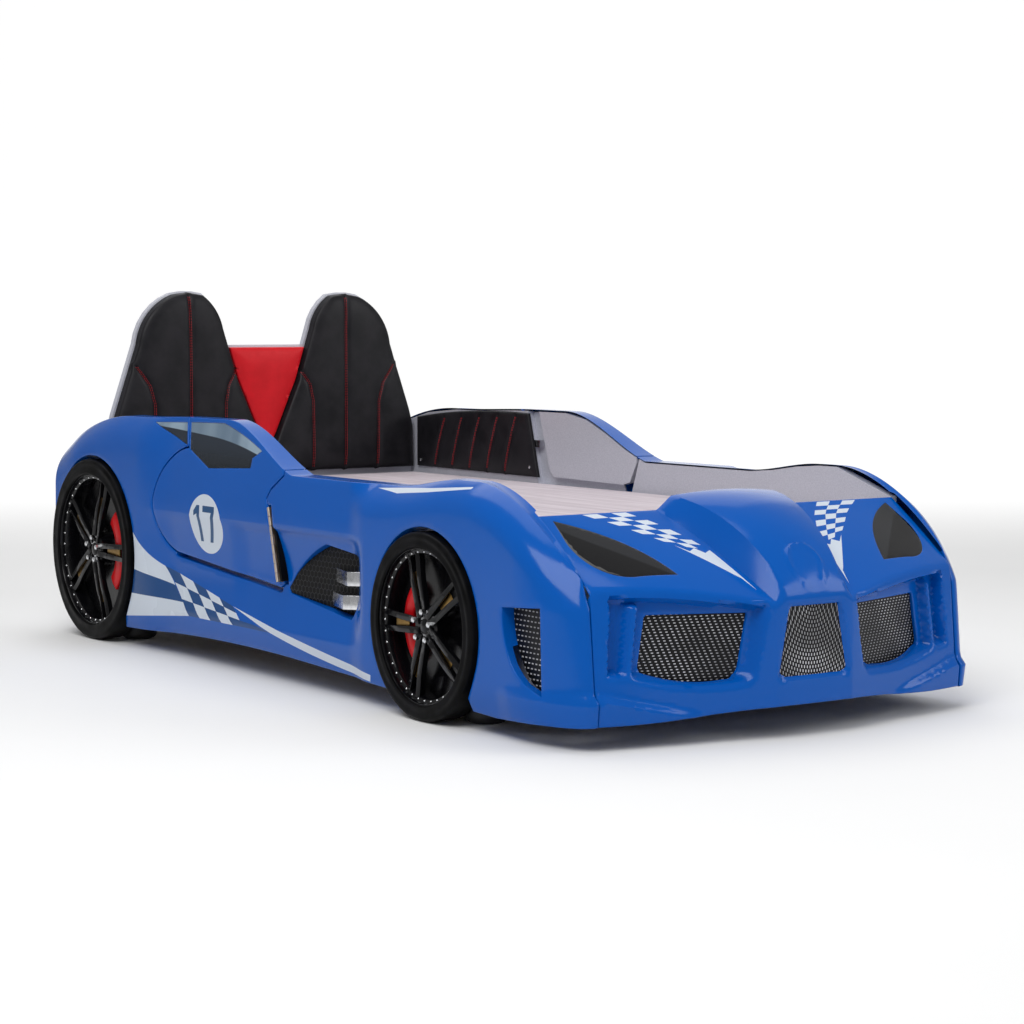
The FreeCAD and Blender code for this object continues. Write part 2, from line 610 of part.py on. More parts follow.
def make_nuts():
    """Hexagonal wheel nuts on every hub, all alike."""
    nuts = []
    for wheel in (REAR_WHEEL, FRONT_WHEEL):
        for i in range(SPOKES):
            a = 2.0 * math.pi * i / SPOKES + 0.4
            y = NUT_RING * math.cos(a)
            z = NUT_RING * math.sin(a)
            turns = [k * math.pi / 3.0 for k in range(6)]
            hexagon = corners(*[(y + 7.0 * math.cos(t), z + 7.0 * math.sin(t)) for t in turns])
            nuts.append(at_hub(side_plate(hexagon, -(SPOKE_FACE_X + 8.0), -SPOKE_FACE_X), wheel))
    return nuts + [mirrored(nut) for nut in nuts]


# ---- head end: board, seat-shaped pads, side pads ----
SEAT = [
    [(-455.0, 404.0), (-453.0, 520.0)],
    [(-441.0, 566.0), (-380.0, 746.0)],
    [(-380.0, 746.0), (-339.0, 834.0), (-278.0, 875.0)],
    [(-278.0, 875.0), (-235.0, 880.0), (-192.0, 875.0)],
    [(-192.0, 875.0), (-158.0, 842.0), (-134.0, 788.0)],
    [(-91.0, 651.0), (-32.0, 515.0)],
    [(-6.0, 450.0), (-6.0, 404.0)],
]
CENTRE_PAD = corners((-114.5, 738.0), (114.5, 738.0), (87.5, 651.0), (28.5, 515.0), (4.0, 462.0), (-4.0, 462.0),
                     (-28.5, 515.0), (-87.5, 651.0))
SIDE_PAD = [[(396.0, 404.0), (441.0, 569.0)], [(441.0, 569.0), (715.0, 568.0), (981.0, 545.0)], [(981.0, 408.0)]]


def make_headboard():
    """One board with two seat-shaped lobes, standing 5 mm proud of the pads all round."""
    lobe = front_plate(SEAT, HEAD_Y, HEAD_Y + BOARD_THICK, 5.0)
    middle = front_plate(corners((-120.0, 744.0), (120.0, 744.0), (60.0, 420.0), (-60.0, 420.0)),
                         HEAD_Y, HEAD_Y + BOARD_THICK)
    half = BOARD_INNER_X - 0.3
    low = block(-half, half, HEAD_Y, HEAD_Y + BOARD_THICK, 62.0, 440.0)
    return solids_of(middle.fuse([lobe, mirrored(lobe), low]).removeSplitter())


# ---- bed base ----
RAIL = (30.0, 46.0)           # timber section: width, height
SLAT = (72.0, 14.0)
SLATS = 13
SLAT_TOP = MATTRESS_TOP - MATTRESS_THICK
RAIL_TOP = SLAT_TOP - SLAT[1]


def make_slats():
    first, last = DECK_REAR_Y + 60.0, HEAD_Y - 70.0
    step = (last - first) / (SLATS - 1)
    half = BOARD_INNER_X - 1.5
    return [block(-half, half, first + i * step - SLAT[0] / 2, first + i * step + SLAT[0] / 2, RAIL_TOP, SLAT_TOP)
            for i in range(SLATS)]


def make_cross_beams():
    half = BOARD_INNER_X - RAIL[0]
    return [block(-half, half, y, y + RAIL[0], RAIL_TOP - RAIL[1], RAIL_TOP) for y in (-480.0, 40.0, 560.0)]


FOOT_R = 45.0
FEET_AT = ((433.0, 905.0), (433.0, -690.0))


def make_feet():
    """Round glides under the side boards."""
    sections = []
    for r, z in ((32.0, 0.0), (FOOT_R, 18.0), (FOOT_R, 62.0)):
        turns = [math.pi * i / 8.0 for i in range(16)]
        points = [Vector(r * math.cos(t), r * math.sin(t), z) for t in turns]
        sections.append(Part.makePolygon(points + points[:1]))
    foot = Part.makeLoft(sections, True, True)
    feet = []
    for x, y in FEET_AT:
        for side in (-1.0, 1.0):
            placed = foot.copy()
            placed.translate(Vector(side * x, y, 0))
            feet.append(placed)
    return feet


def make_mattress():
    body = block(-450.0, 450.0, DECK_REAR_Y + 3.0, HEAD_Y - PAD_THICK - 6.0, SLAT_TOP + 0.5, MATTRESS_TOP)
    upright = [e for e in body.Edges if abs(e.Vertexes[0].Z - e.Vertexes[1].Z) > 10.0]
    return body.makeFillet(35.0, upright)


FRONT_BOARD = corners((-459.7, 62.0), (-459.7, 402.0), (-176.0, 408.0), (-124.0, 436.0),
                      (124.0, 436.0), (176.0, 408.0), (459.7, 402.0), (459.7, 62.0))
TAIL_BOARD_Y = TAIL_Y - 24.0


save_pair("side_shell", make_side_shell())
save_pair("side_board", make_side_board())
save_pair("quarter_window", side_skin(QUARTER_WINDOW, 1.0, 1.8, 0.4))
save_pair("door_shell", make_door_shell())
save_pair("door_board", make_door_board())
save_pair("door_window", side_skin(DOOR_WINDOW, 1.0, 1.8, 0.4))
save_pair("hinge_body_leaf", hinge_leaf(-1.0, 0))
save_pair("hinge_door_leaf", hinge_leaf(1.0, 1))
save_pair("hinge_pin", hinge_pin())
save_pair("side_vent", make_side_vent())
save_pair("vent_outlets", make_vent_outlets())
save_pair("corner_vent", make_corner_vent())
catch = block(-474.0, -462.0, 400.0, 440.0, 482.0, 500.0).cut(make_side_board())
save("door_catches", Part.makeCompound([catch, mirrored(catch)]))

save("front_shell", make_front_shell())
save_pair("headlight", make_headlight())
save_pair("grille", make_grille())
save("centre_grille", make_centre_grille())
save("front_board", front_plate(FRONT_BOARD, DECK_REAR_Y - 16.0, DECK_REAR_Y))

for end, wheel, first_deg, facing in (("rear", REAR_WHEEL, 126.0, -1.0), ("front", FRONT_WHEEL, 90.0, 1.0)):
    save_pair(end + "_tyre", make_tyre(wheel))
    save_pair(end + "_rim", make_rim(wheel, first_deg))
    save_pair(end + "_caliper", make_caliper(wheel, facing))
save("wheel_nuts", Part.makeCompound(make_nuts()))

save("headboard", make_headboard())
save_pair("seat_pad", front_plate(SEAT, HEAD_Y - PAD_THICK, HEAD_Y - 0.3))
save("centre_pad", front_plate(CENTRE_PAD, HEAD_Y - 20.0, HEAD_Y - 0.3))
save_pair("side_pad", side_plate(SIDE_PAD, -BOARD_INNER_X + 0.3, -BOARD_INNER_X + 14.0))

save("mattress", make_mattress())
save("slats", Part.makeCompound(make_slats()))
rail = block(-BOARD_INNER_X, -BOARD_INNER_X + RAIL[0], DECK_REAR_Y, HEAD_Y, RAIL_TOP - RAIL[1], RAIL_TOP)
save_pair("bed_rail", rail)
save("cross_beams", Part.makeCompound(make_cross_beams()))
save("feet", Part.makeCompound(make_feet()))
save("tail_board", block(-460.7, 460.7, TAIL_BOARD_Y, TAIL_BOARD_Y + 16.0, 62.0, 455.0))
save("rear_deck", block(-460.7, 460.7, HEAD_Y + BOARD_THICK, TAIL_BOARD_Y, 440.0, 455.0))
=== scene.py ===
import bpy
import math
import numpy as np
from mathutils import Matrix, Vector
from mathutils.geometry import delaunay_2d_cdt


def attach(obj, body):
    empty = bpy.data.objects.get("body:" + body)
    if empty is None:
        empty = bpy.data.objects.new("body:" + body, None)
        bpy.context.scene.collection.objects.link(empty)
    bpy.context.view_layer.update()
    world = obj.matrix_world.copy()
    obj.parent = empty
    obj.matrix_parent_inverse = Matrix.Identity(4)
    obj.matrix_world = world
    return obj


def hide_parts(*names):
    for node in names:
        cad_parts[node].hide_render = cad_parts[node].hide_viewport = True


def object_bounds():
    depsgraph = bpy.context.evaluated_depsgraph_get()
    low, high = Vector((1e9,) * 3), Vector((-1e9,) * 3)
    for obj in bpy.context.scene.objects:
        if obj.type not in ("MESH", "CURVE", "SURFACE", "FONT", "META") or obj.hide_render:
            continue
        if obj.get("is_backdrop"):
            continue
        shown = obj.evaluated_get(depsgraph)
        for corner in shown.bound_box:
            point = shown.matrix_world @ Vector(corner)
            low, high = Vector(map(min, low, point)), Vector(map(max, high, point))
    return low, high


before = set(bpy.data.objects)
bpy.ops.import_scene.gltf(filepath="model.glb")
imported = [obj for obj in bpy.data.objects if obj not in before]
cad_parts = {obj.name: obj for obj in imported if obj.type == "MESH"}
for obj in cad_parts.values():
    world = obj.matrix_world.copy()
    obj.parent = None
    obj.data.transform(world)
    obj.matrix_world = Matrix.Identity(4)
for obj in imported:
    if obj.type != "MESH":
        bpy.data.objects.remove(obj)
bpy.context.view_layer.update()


# ---------------------------------------------------------------- boards and base
# The melamine-faced boards, the timber rails, the cross beams and the slats are flat stock, screwed together as an open
# box. They are shown as they were constructed, and their facing and grain are in their materials.
class Value:
    """A shader socket that takes part in arithmetic: each operator adds one Math node."""
    def __init__(self, shader, socket):
        self.shader = shader
        self.socket = socket

    def __add__(self, other):
        return self.shader.math("ADD", self, other)

    def __sub__(self, other):
        return self.shader.math("SUBTRACT", self, other)

    def __rsub__(self, other):
        return self.shader.math("SUBTRACT", other, self)

    def __mul__(self, other):
        return self.shader.math("MULTIPLY", self, other)

    __radd__ = __add__
    __rmul__ = __mul__


class Shader:
    """A material with one principled surface. Lengths in shaders are metres."""
    def __init__(self, name, base, rough, metal=0.0, coat=0.0, spec=0.5):
        self.material = bpy.data.materials.new(name + "_finish")
        self.material.use_nodes = True
        self.tree = self.material.node_tree
        self.surface = self.tree.nodes["Principled BSDF"]
        for socket, value in (("Base Color", (*base, 1.0)), ("Roughness", rough), ("Metallic", metal),
                              ("Coat Weight", coat), ("Coat Roughness", 0.05), ("Specular IOR Level", spec)):
            self.surface.inputs[socket].default_value = value

    def plug(self, socket, value):
        if isinstance(value, Value):
            self.tree.links.new(value.socket, socket)
        elif isinstance(value, (tuple, list)):
            socket.default_value = (*value, 1.0) if len(socket.default_value) == 4 and len(value) == 3 else value
        else:
            socket.default_value = value

    def node(self, kind, out=0, **inputs):
        made = self.tree.nodes.new("ShaderNode" + kind)
        for key, value in inputs.items():
            if hasattr(made, key) and key not in made.inputs:
                setattr(made, key, value)
            else:
                self.plug(made.inputs[int(key[1:])] if key[0] == "_" else made.inputs[key], value)
        return Value(self, made.outputs[out])

    def math(self, operation, a, b=0.0):
        return self.node("Math", operation=operation, _0=a, _1=b)

    def place(self):
        """Object position, in metres."""
        return self.node("TexCoord", out=3)

    def xyz(self):
        """Object position as three values."""
        split = self.tree.nodes.new("ShaderNodeSeparateXYZ")
        self.plug(split.inputs[0], self.place())
        return [Value(self, s) for s in split.outputs]

    def noise(self, scale, detail=2.0, roughness=0.5, stretch=None):
        """Fractal noise at Object position, which `stretch` may scale along each axis first."""
        vector = self.place()
        if stretch:
            vector = self.node("VectorMath", operation="MULTIPLY", _0=vector, _1=stretch)
        return self.node("TexNoise", Vector=vector, Scale=scale, Detail=detail, Roughness=roughness)

    def ramp(self, value, low, high, out_low=0.0, out_high=1.0):
        """The value taken from [low, high] to [out_low, out_high], clamped, with a smooth step."""
        return self.node("MapRange", Value=value, _1=low, _2=high, _3=out_low, _4=out_high,
                         interpolation_type="SMOOTHSTEP")

    def mix(self, factor, a, b):
        made = self.tree.nodes.new("ShaderNodeMix")
        made.data_type = "RGBA"
        self.plug(made.inputs[0], factor)
        self.plug(made.inputs[6], a)
        self.plug(made.inputs[7], b)
        return Value(self, made.outputs[2])

    def bump(self, height, strength=0.3, distance=0.001):
        made = self.tree.nodes.new("ShaderNodeBump")
        made.inputs["Strength"].default_value = strength
        made.inputs["Distance"].default_value = distance
        self.plug(made.inputs["Height"], height)
        self.tree.links.new(made.outputs[0], self.surface.inputs["Normal"])

    def color(self, value):
        self.plug(self.surface.inputs["Base Color"], value)

    def rough(self, value):
        self.plug(self.surface.inputs["Roughness"], value)


def melamine():
    """Silver-grey facing with a fine metallic grain."""
    m = Shader("board_silver", (0.40, 0.42, 0.45), 0.35, metal=0.25)
    fleck = m.noise(420.0, 2.0)
    cloud = m.noise(2.5, 3.0)
    m.color(m.mix(m.ramp(fleck, 0.3, 0.7), m.mix(cloud, (0.52, 0.53, 0.60), (0.57, 0.58, 0.65)), (0.64, 0.65, 0.72)))
    m.rough(m.ramp(cloud, 0.3, 0.7, 0.3, 0.42))
    m.bump(fleck, 0.06, 0.0003)
    return m.material


def timber():
    """Planed pine: rings stretched along the width of the bed."""
    m = Shader("pine", (0.62, 0.45, 0.27), 0.55)
    grain = m.noise(26.0, 6.0, 0.6, stretch=(0.06, 1.0, 1.0))
    m.color(m.mix(m.ramp(grain, 0.35, 0.65), (0.66, 0.50, 0.31), (0.46, 0.30, 0.16)))
    m.rough(m.ramp(grain, 0.3, 0.7, 0.45, 0.65))
    m.bump(grain, 0.12, 0.0006)
    return m.material


def show(nodes, material):
    """Gives CAD nodes their finish."""
    for name in nodes:
        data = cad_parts[name].data
        data.materials.clear()
        data.materials.append(material)


SILVER, PINE = melamine(), timber()
show([side + name for side in ("right_", "left_") for name in ("side_board", "door_board")]
     + ["headboard", "front_board", "tail_board", "rear_deck"], SILVER)
show(["right_bed_rail", "left_bed_rail", "slats", "cross_beams"], PINE)


# ---------------------------------------------------------------- feet
# Four round glides of black plastic carry the box. They are turned bodies with a rounded lower edge, one screwed under
# each end of both side boards. Lengths are in millimetres until a mesh is made: the nose of the car points along -Y,
# Z is up and the floor is z = 0.
MM = 0.001


def grid(points, wrap_u=False, wrap_v=False):
    """Quads over a grid of points (u, v, 3)."""
    nu, nv = points.shape[:2]
    index = np.arange(nu * nv).reshape(nu, nv)
    if wrap_u:
        index = np.concatenate([index, index[:1]], 0)
    if wrap_v:
        index = np.concatenate([index, index[:, :1]], 1)
    a, b = index[:-1, :-1], index[1:, :-1]
    c, d = index[1:, 1:], index[:-1, 1:]
    return points.reshape(-1, 3), [np.stack([a, b, c, d], -1).reshape(-1, 4)]


def turned(profile, n):
    """Rings of n points, one for each (radius, height) of the profile, round the third axis."""
    radius, height = np.array(profile, float).T
    a = np.arange(n) * 2.0 * math.pi / n
    return np.stack([radius[:, None] * np.cos(a), radius[:, None] * np.sin(a), np.repeat(height[:, None], n, 1)], -1)


def arc_points(centre, radius, start, end, n=8):
    """Points of an arc at even angles, in degrees."""
    a = np.radians(np.linspace(start, end, n))
    return [(centre[0] + radius * math.cos(t), centre[1] + radius * math.sin(t)) for t in a]


def joined(*meshes):
    """Several (points, faces) as one."""
    verts, faces, base = [], [], 0
    for v, f in meshes:
        verts.append(v)
        faces += [part + base for part in f]
        base += len(v)
    return np.concatenate(verts), faces


def outward(mesh):
    """Turns the whole mesh so that its faces point out, judged by its signed volume."""
    verts, faces = mesh
    volume = 0.0
    centre = verts.mean(0)
    for part in faces:
        p = verts[part] - centre
        for k in range(1, part.shape[1] - 1):
            volume += np.einsum("ij,ij->i", p[:, 0], np.cross(p[:, k], p[:, k + 1])).sum()
    return (verts, [part[:, ::-1] for part in faces]) if volume < 0.0 else mesh


def piece(name, mesh, material, body="bed", stands_for=(), sharp=40.0, mirror=False, slots=None):
    """Makes the object: smooth shaded, with edges sharper than `sharp` degrees kept hard."""
    verts, faces = mesh
    verts = verts * MM
    if mirror:
        verts = verts * np.array([-1.0, 1.0, 1.0])
        faces = [part[:, ::-1] for part in faces]
    data = bpy.data.meshes.new(name)
    data.vertices.add(len(verts))
    data.vertices.foreach_set("co", verts.ravel())
    sizes = np.concatenate([np.full(len(part), part.shape[1]) for part in faces])
    data.loops.add(int(sizes.sum()))
    data.loops.foreach_set("vertex_index", np.concatenate([part.ravel() for part in faces]).astype(np.int32))
    data.polygons.add(len(sizes))
    data.polygons.foreach_set("loop_start", np.concatenate([[0], np.cumsum(sizes)[:-1]]).astype(np.int32))
    data.update(calc_edges=True)
    data.polygons.foreach_set("use_smooth", np.ones(len(sizes), bool))
    data.set_sharp_from_angle(angle=math.radians(sharp))
    materials = material if isinstance(material, (list, tuple)) else [material]
    for m in materials:
        data.materials.append(m)
    if slots is not None:
        every = np.zeros(len(sizes), np.int32)
        every[:len(slots)] = slots
        data.polygons.foreach_set("material_index", every)
    data.validate()
    thing = bpy.data.objects.new(name, data)
    bpy.context.scene.collection.objects.link(thing)
    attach(thing, body)
    if stands_for:
        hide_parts(*stands_for)
    return thing


def moulded_black():
    """Dull black plastic with a grained mould finish."""
    m = Shader("foot_black", (0.015, 0.015, 0.016), 0.5)
    m.color(m.mix(m.noise(40.0, 4.0), (0.012, 0.012, 0.013), (0.022, 0.022, 0.024)))
    m.bump(m.noise(500.0, 2.0), 0.15, 0.0004)
    return m.material


FOOT = [(0.1, 0.0), (30.0, 0.0)] + arc_points((29.0, 16.0), 16.0, -80.0, 0.0, 7) + [(45.0, 62.0), (0.1, 62.0)]
feet = [outward(grid(turned(FOOT, 48) + [x, y, 0.0], True, True)) for y in (905.0, -690.0) for x in (-433.0, 433.0)]
piece("feet", joined(*feet), moulded_black(), stands_for=["feet"])


# ---------------------------------------------------------------- side shells
# The long blue panels are thermoformed in one piece from the tail round to the front corner, and screwed to the side
# boards. A chequered ribbon and a white streak are printed on them. The right one, at -X, is drawn and the left one is
# its mirror.
HALF_LENGTH = 1207.0
SEAM_X = 467.0                # half-width of the front moulding, where the side shells meet it
BOARD_OUT_X = 479.0           # outer face of the side boards
BOARD_IN_X = 461.0            # and their inner face
DECK_REAR_Y = -905.0          # rear edge of the bonnet
CORNER_Y = -925.0             # where the way round the front corner starts
CORNER_REACH = 178.0          # how far the corner reaches ahead of it
CORNER_WAY = 200.0            # length of the way round it
REAR_WHEEL = (955.0, 229.0)   # (y, z) of the hub; z is also the outer radius
FRONT_WHEEL = (-611.0, 192.0)
WHEEL_GAP = 9.0
CREASE_Z = 350.0              # a crease runs along the flank here
CREASE_HIGH = 13.0            # and under it the flank steps inwards over this height
HINGE_LOW = np.array([5.0, 227.0])        # (y, z) of the ends of the door's pin
HINGE_HIGH = np.array([46.0, 392.0])
DOOR_GAP = 4.0
ROLL = 2.5                    # radius of the shells' rolled edges
BASE = 0.3                    # clearance between pieces
PRINT_STEP = 12.0             # spacing of points along printed outlines


def smooth(t):
    """Smooth step from 0 to 1: three t squared less two t cubed."""
    t = np.clip(t, 0.0, 1.0)
    return t * t * (3.0 - 2.0 * t)


def polyline(strokes, step=6.0):
    """Closed outline from strokes: one point is a corner, two a line and three a circle's arc. Lines close the gaps,
    and points come about every `step`."""
    rows = []
    count = len(strokes)
    for i, stroke in enumerate(strokes):
        stroke = [np.array(p, float) for p in stroke]
        if len(stroke) == 3:
            a, b, c = stroke
            d = 2.0 * (a[0] * (b[1] - c[1]) + b[0] * (c[1] - a[1]) + c[0] * (a[1] - b[1]))
            sq = [p @ p for p in stroke]
            centre = np.array([sq[0] * (b[1] - c[1]) + sq[1] * (c[1] - a[1]) + sq[2] * (a[1] - b[1]),
                               sq[0] * (c[0] - b[0]) + sq[1] * (a[0] - c[0]) + sq[2] * (b[0] - a[0])]) / d
            turn = [math.atan2(*(p - centre)[::-1]) for p in stroke]
            ccw = d > 0.0
            sweep = (turn[2] - turn[0]) % (2.0 * math.pi)
            if not ccw:
                sweep -= 2.0 * math.pi
            radius = np.linalg.norm(a - centre)
            n = max(3, int(abs(sweep) * radius / step) + 1)
            angle = turn[0] + sweep * np.linspace(0.0, 1.0, n + 1)
            rows.append(centre + radius * np.stack([np.cos(angle), np.sin(angle)], 1))
        elif len(stroke) == 2:
            rows.append(divided(stroke[0], stroke[1], step))
        else:
            rows.append(stroke[0][None])
        rows.append(divided(stroke[-1], np.array(strokes[(i + 1) % count][0], float), step)[1:])
    points = np.concatenate(rows)
    keep = np.linalg.norm(points - np.roll(points, 1, 0), axis=1) > 0.05
    return points[keep]


def divided(a, b, step):
    """Even points from a to b, about `step` apart."""
    n = max(1, int(np.linalg.norm(b - a) / step + 0.5))
    return a + (b - a) * np.linspace(0.0, 1.0, n + 1)[:, None]


def corners(*points):
    """A polygon as strokes."""
    return [[p] for p in points]


def out_normals(points, before, after):
    """Mitred outward normal of counter-clockwise boundary points."""
    def normal(d):
        return np.stack([d[:, 1], -d[:, 0]], 1) / np.maximum(np.linalg.norm(d, axis=1), 1e-9)[:, None]
    n1 = normal(points - before)
    n2 = normal(after - points)
    both_ways = n1 + n2
    return both_ways / np.maximum((both_ways * both_ways).sum(1), 1.0)[:, None] * 2.0


def grown(loop, amount):
    """The closed loop moved outwards."""
    area = np.sum(loop[:, 0] * np.roll(loop[:, 1], -1) - loop[:, 1] * np.roll(loop[:, 0], -1))
    if area < 0.0:
        loop = loop[::-1]
    return loop + amount * out_normals(loop, np.roll(loop, 1, 0), np.roll(loop, -1, 0))


def inside(points, loop):
    """Even-odd test of every point against a closed loop, in blocks."""
    ax, ay = loop.T
    bx, by = np.roll(loop, -1, 0).T
    answers = []
    for block in np.array_split(points, len(points) // 4000 + 1):
        x, y = block[:, 0][:, None], block[:, 1][:, None]
        cross = (ay > y) != (by > y)
        with np.errstate(divide="ignore", invalid="ignore"):
            at = ax + (y - ay) * (bx - ax) / (by - ay)
        answers.append(np.sum(cross & (x < at), 1) % 2 == 1)
    return np.concatenate(answers)


def region(outer, holes=(), step=8.0, lines=(), keep=None):
    """Triangulates what lies inside `outer` and outside `holes`: their edges and `lines` are kept, and a staggered
    lattice fills between. `keep` may drop more of it."""
    loops = [np.asarray(loop, float) for loop in (outer, *holes)]
    edge_points = np.concatenate(loops + [np.asarray(line, float) for line in lines])
    low, high = loops[0].min(0), loops[0].max(0)
    rows = np.arange(low[1], high[1] + step, step * 0.866)
    cols = np.arange(low[0] - step, high[0] + step, step)
    lattice = np.stack(np.meshgrid(cols, rows), -1)
    lattice[1::2, :, 0] += 0.5 * step
    clear = np.ones(lattice.shape[:2], bool)
    row = np.round((edge_points[:, 1] - rows[0]) / (step * 0.866)).astype(int)
    for dr in (-1, 0, 1):
        r = np.clip(row + dr, 0, len(rows) - 1)
        col = np.round((edge_points[:, 0] - cols[0] - 0.5 * step * (r % 2)) / step).astype(int)
        for dc in (-1, 0, 1):
            c = np.clip(col + dc, 0, len(cols) - 1)
            near = ((lattice[r, c] - edge_points) ** 2).sum(1) < (0.62 * step) ** 2
            clear[r[near], c[near]] = False
    lattice = lattice[clear]

    def wanted(p):
        ok = inside(p, loops[0])
        for hole in loops[1:]:
            ok &= ~inside(p, hole)
        return ok & keep(p) if keep else ok

    lattice = lattice[wanted(lattice)]
    edges = []
    start = 0
    for loop in loops:
        n = len(loop)
        edges += [(start + i, start + (i + 1) % n) for i in range(n)]
        start += n
    for line in lines:
        edges += [(start + i, start + i + 1) for i in range(len(line) - 1)]
        start += len(line)
    points = np.concatenate([edge_points, lattice])
    made = delaunay_2d_cdt([Vector(p) for p in points], edges, [], 0, 1e-4)
    flat = np.array([tuple(v) for v in made[0]])
    tris = np.array(made[2])
    tris = tris[wanted(flat[tris].mean(1))]
    a, b, c = flat[tris[:, 0]], flat[tris[:, 1]], flat[tris[:, 2]]
    twice = (b[:, 0] - a[:, 0]) * (c[:, 1] - a[:, 1]) - (b[:, 1] - a[:, 1]) * (c[:, 0] - a[:, 0])
    tris[twice < 0.0] = tris[twice < 0.0][:, ::-1]
    tris = tris[np.abs(twice) > 1e-4]
    used = np.unique(tris)
    lookup = np.full(len(flat), -1)
    lookup[used] = np.arange(len(used))
    return flat[used], lookup[tris]


def printed(flat, tris, *areas):
    """Material slot of every triangle: 0, or the number of the last area (a list of loops) that holds its middle."""
    middle = flat[tris].mean(1)
    slots = np.zeros(len(tris), int)
    for number, loops in enumerate(areas, 1):
        for loop in loops:
            slots[inside(middle, loop)] = number
    return slots


def closed(loop):
    """The loop with its first point again at its end."""
    return np.concatenate([loop, loop[:1]])


def boundary(tris):
    """Boundary vertices of a triangulation with the ones before and after them."""
    directed = np.concatenate([tris[:, [0, 1]], tris[:, [1, 2]], tris[:, [2, 0]]])
    size = tris.max() + 1
    code = directed[:, 0] * size + directed[:, 1]
    back = directed[:, 1] * size + directed[:, 0]
    edge = directed[~np.isin(code, back)]
    edge = edge[np.argsort(edge[:, 0])]
    before = np.zeros(size, int)
    before[edge[:, 1]] = edge[:, 0]
    return edge[:, 0], before[edge[:, 0]], edge[:, 1]


def face_out(surface, p, facing):
    """Unit normals of a surface: the cross product of its two steps, turned by `facing`."""
    step = np.array([[0.4, 0.0], [0.0, 0.4]])
    n = facing * np.cross(surface(p + step[0]) - surface(p - step[0]), surface(p + step[1]) - surface(p - step[1]))
    return n / np.maximum(np.linalg.norm(n, axis=1), 1e-9)[:, None]


def panel(flat, tris, surface, facing=1.0, roll=2.5, wall=8.0, end=None, steps=3, back=False):
    """Skin on `surface` whose edges roll over outwards by `roll` and run on inwards to the depth `wall`, or to
    `end`, which places the last row. With `back`, the last row is filled with the same triangles."""
    rim, before, after = boundary(tris)
    normal = out_normals(flat[rim], flat[before], flat[after])
    radius = (roll(flat[rim]) if callable(roll) else np.full(len(rim), roll))[:, None]
    edge = flat[rim] + radius * normal
    inward = -face_out(surface, flat[rim], facing)
    verts = [surface(flat)]
    faces = [tris]
    n = len(rim)
    order = np.full(len(flat), -1)
    order[rim] = np.arange(n)
    a, b = np.arange(n), order[after]
    last = rim
    base = len(flat)
    for k in range(1, steps + 2):
        t = 0.5 * math.pi * min(k, steps) / steps
        row = surface(flat[rim] + radius * math.sin(t) * normal) + inward * radius * (1.0 - math.cos(t))
        if k > steps:
            row = end(edge) if end else surface(edge) + inward * wall
        verts.append(row)
        this = base + np.arange(n)
        faces.append(np.stack([last[a], this[a], this[b], last[b]], 1))
        last = this
        base += n
    if back:
        other = np.full(len(flat), -1)
        inner = np.setdiff1d(np.arange(len(flat)), rim)
        other[rim] = last
        other[inner] = base + np.arange(len(inner))
        verts.append(end(flat[inner]) if end else surface(flat[inner]) - wall * face_out(surface, flat[inner], facing))
        faces.append(other[tris[:, ::-1]])
    if facing < 0.0:
        faces = [part[:, ::-1] for part in faces]
    return np.concatenate(verts), faces


def both(name, mesh, material, body="bed", **more):
    """The piece on the right side and its mirror on the left; `body` is bed or door."""
    made = []
    for side in ("right", "left"):
        rides = side + "_door" if body == "door" else body
        nodes = [side + "_" + n for n in more.get("stands_for", ())]
        options = {**more, "stands_for": nodes, "mirror": side == "left"}
        made.append(piece(side + "_" + name, mesh, material, rides, **options))
    return made


def top_height(y):
    """Height of the side's upper edge: wing, belt, windscreen pillar, roof and tail, joined by smooth steps."""
    wing = 491.0 - 0.00376 * np.maximum(-736.0 - y, 0.0) ** 1.85
    belt = 467.0 + 24.0 * smooth((-437.0 - y) / 240.0)
    t = np.clip((y + 45.0) / 330.0, 0.0, 1.0)
    pillar = 467.0 + 112.0 * 0.5 * (np.sin(0.5 * math.pi * t) + smooth(t))
    roof = 579.0 - 7.0 * smooth((y - 430.0) / 330.0)
    tail = 572.0 - 102.0 * (np.maximum(y - 797.0, 0.0) / 410.0) ** 2
    return np.select([y < -736.0, y < -45.0, y < 285.0, y < 797.0], [wing, belt, pillar, roof], tail)


def side_half_width(y, z):
    """Half-width of the side: a crowned wing over the wheels, and between them a creased flank."""
    top = top_height(y)
    back = smooth((y - 300.0) / 300.0)
    high = 70.0 + 25.0 * back
    s = np.clip((z - top + high) / high, 0.0, 1.0)
    wing = 535.0 - (52.0 - 14.0 * back) * s ** 2.5 - 8.0 * (np.maximum(0.0, 110.0 - z) / 60.0) ** 2
    wing -= 9.0 * smooth((y - 1050.0) / 160.0)
    upper = 529.0 - 30.0 * (np.maximum(z - CREASE_Z, 0.0) / 228.0) ** 1.6
    middle = 529.0 - 16.0 * (1.0 - ((z - 235.0) / 115.0) ** 2)
    middle -= 7.0 * smooth((CREASE_Z - z) / CREASE_HIGH) * smooth((z - 130.0) / 120.0) * smooth((250.0 - y) / 90.0)
    lower = 529.0 - 11.0 * ((120.0 - z) / 65.0) ** 2
    flank = np.select([z > CREASE_Z, z > 120.0], [upper, middle], lower)
    between = smooth((y + 380.0) / 80.0) * (1.0 - smooth((y - 520.0) / 190.0))
    return wing * (1.0 - between) + flank * between


def splitter(z, start=110.0):
    """How far the lowest lip stands out: 10 at the bottom, 14 at 18 below its start and none above that."""
    return smooth((start - z) / 18.0) * (10.0 + 4.0 * np.clip((z - 48.0) / 44.0, 0.0, 1.0))


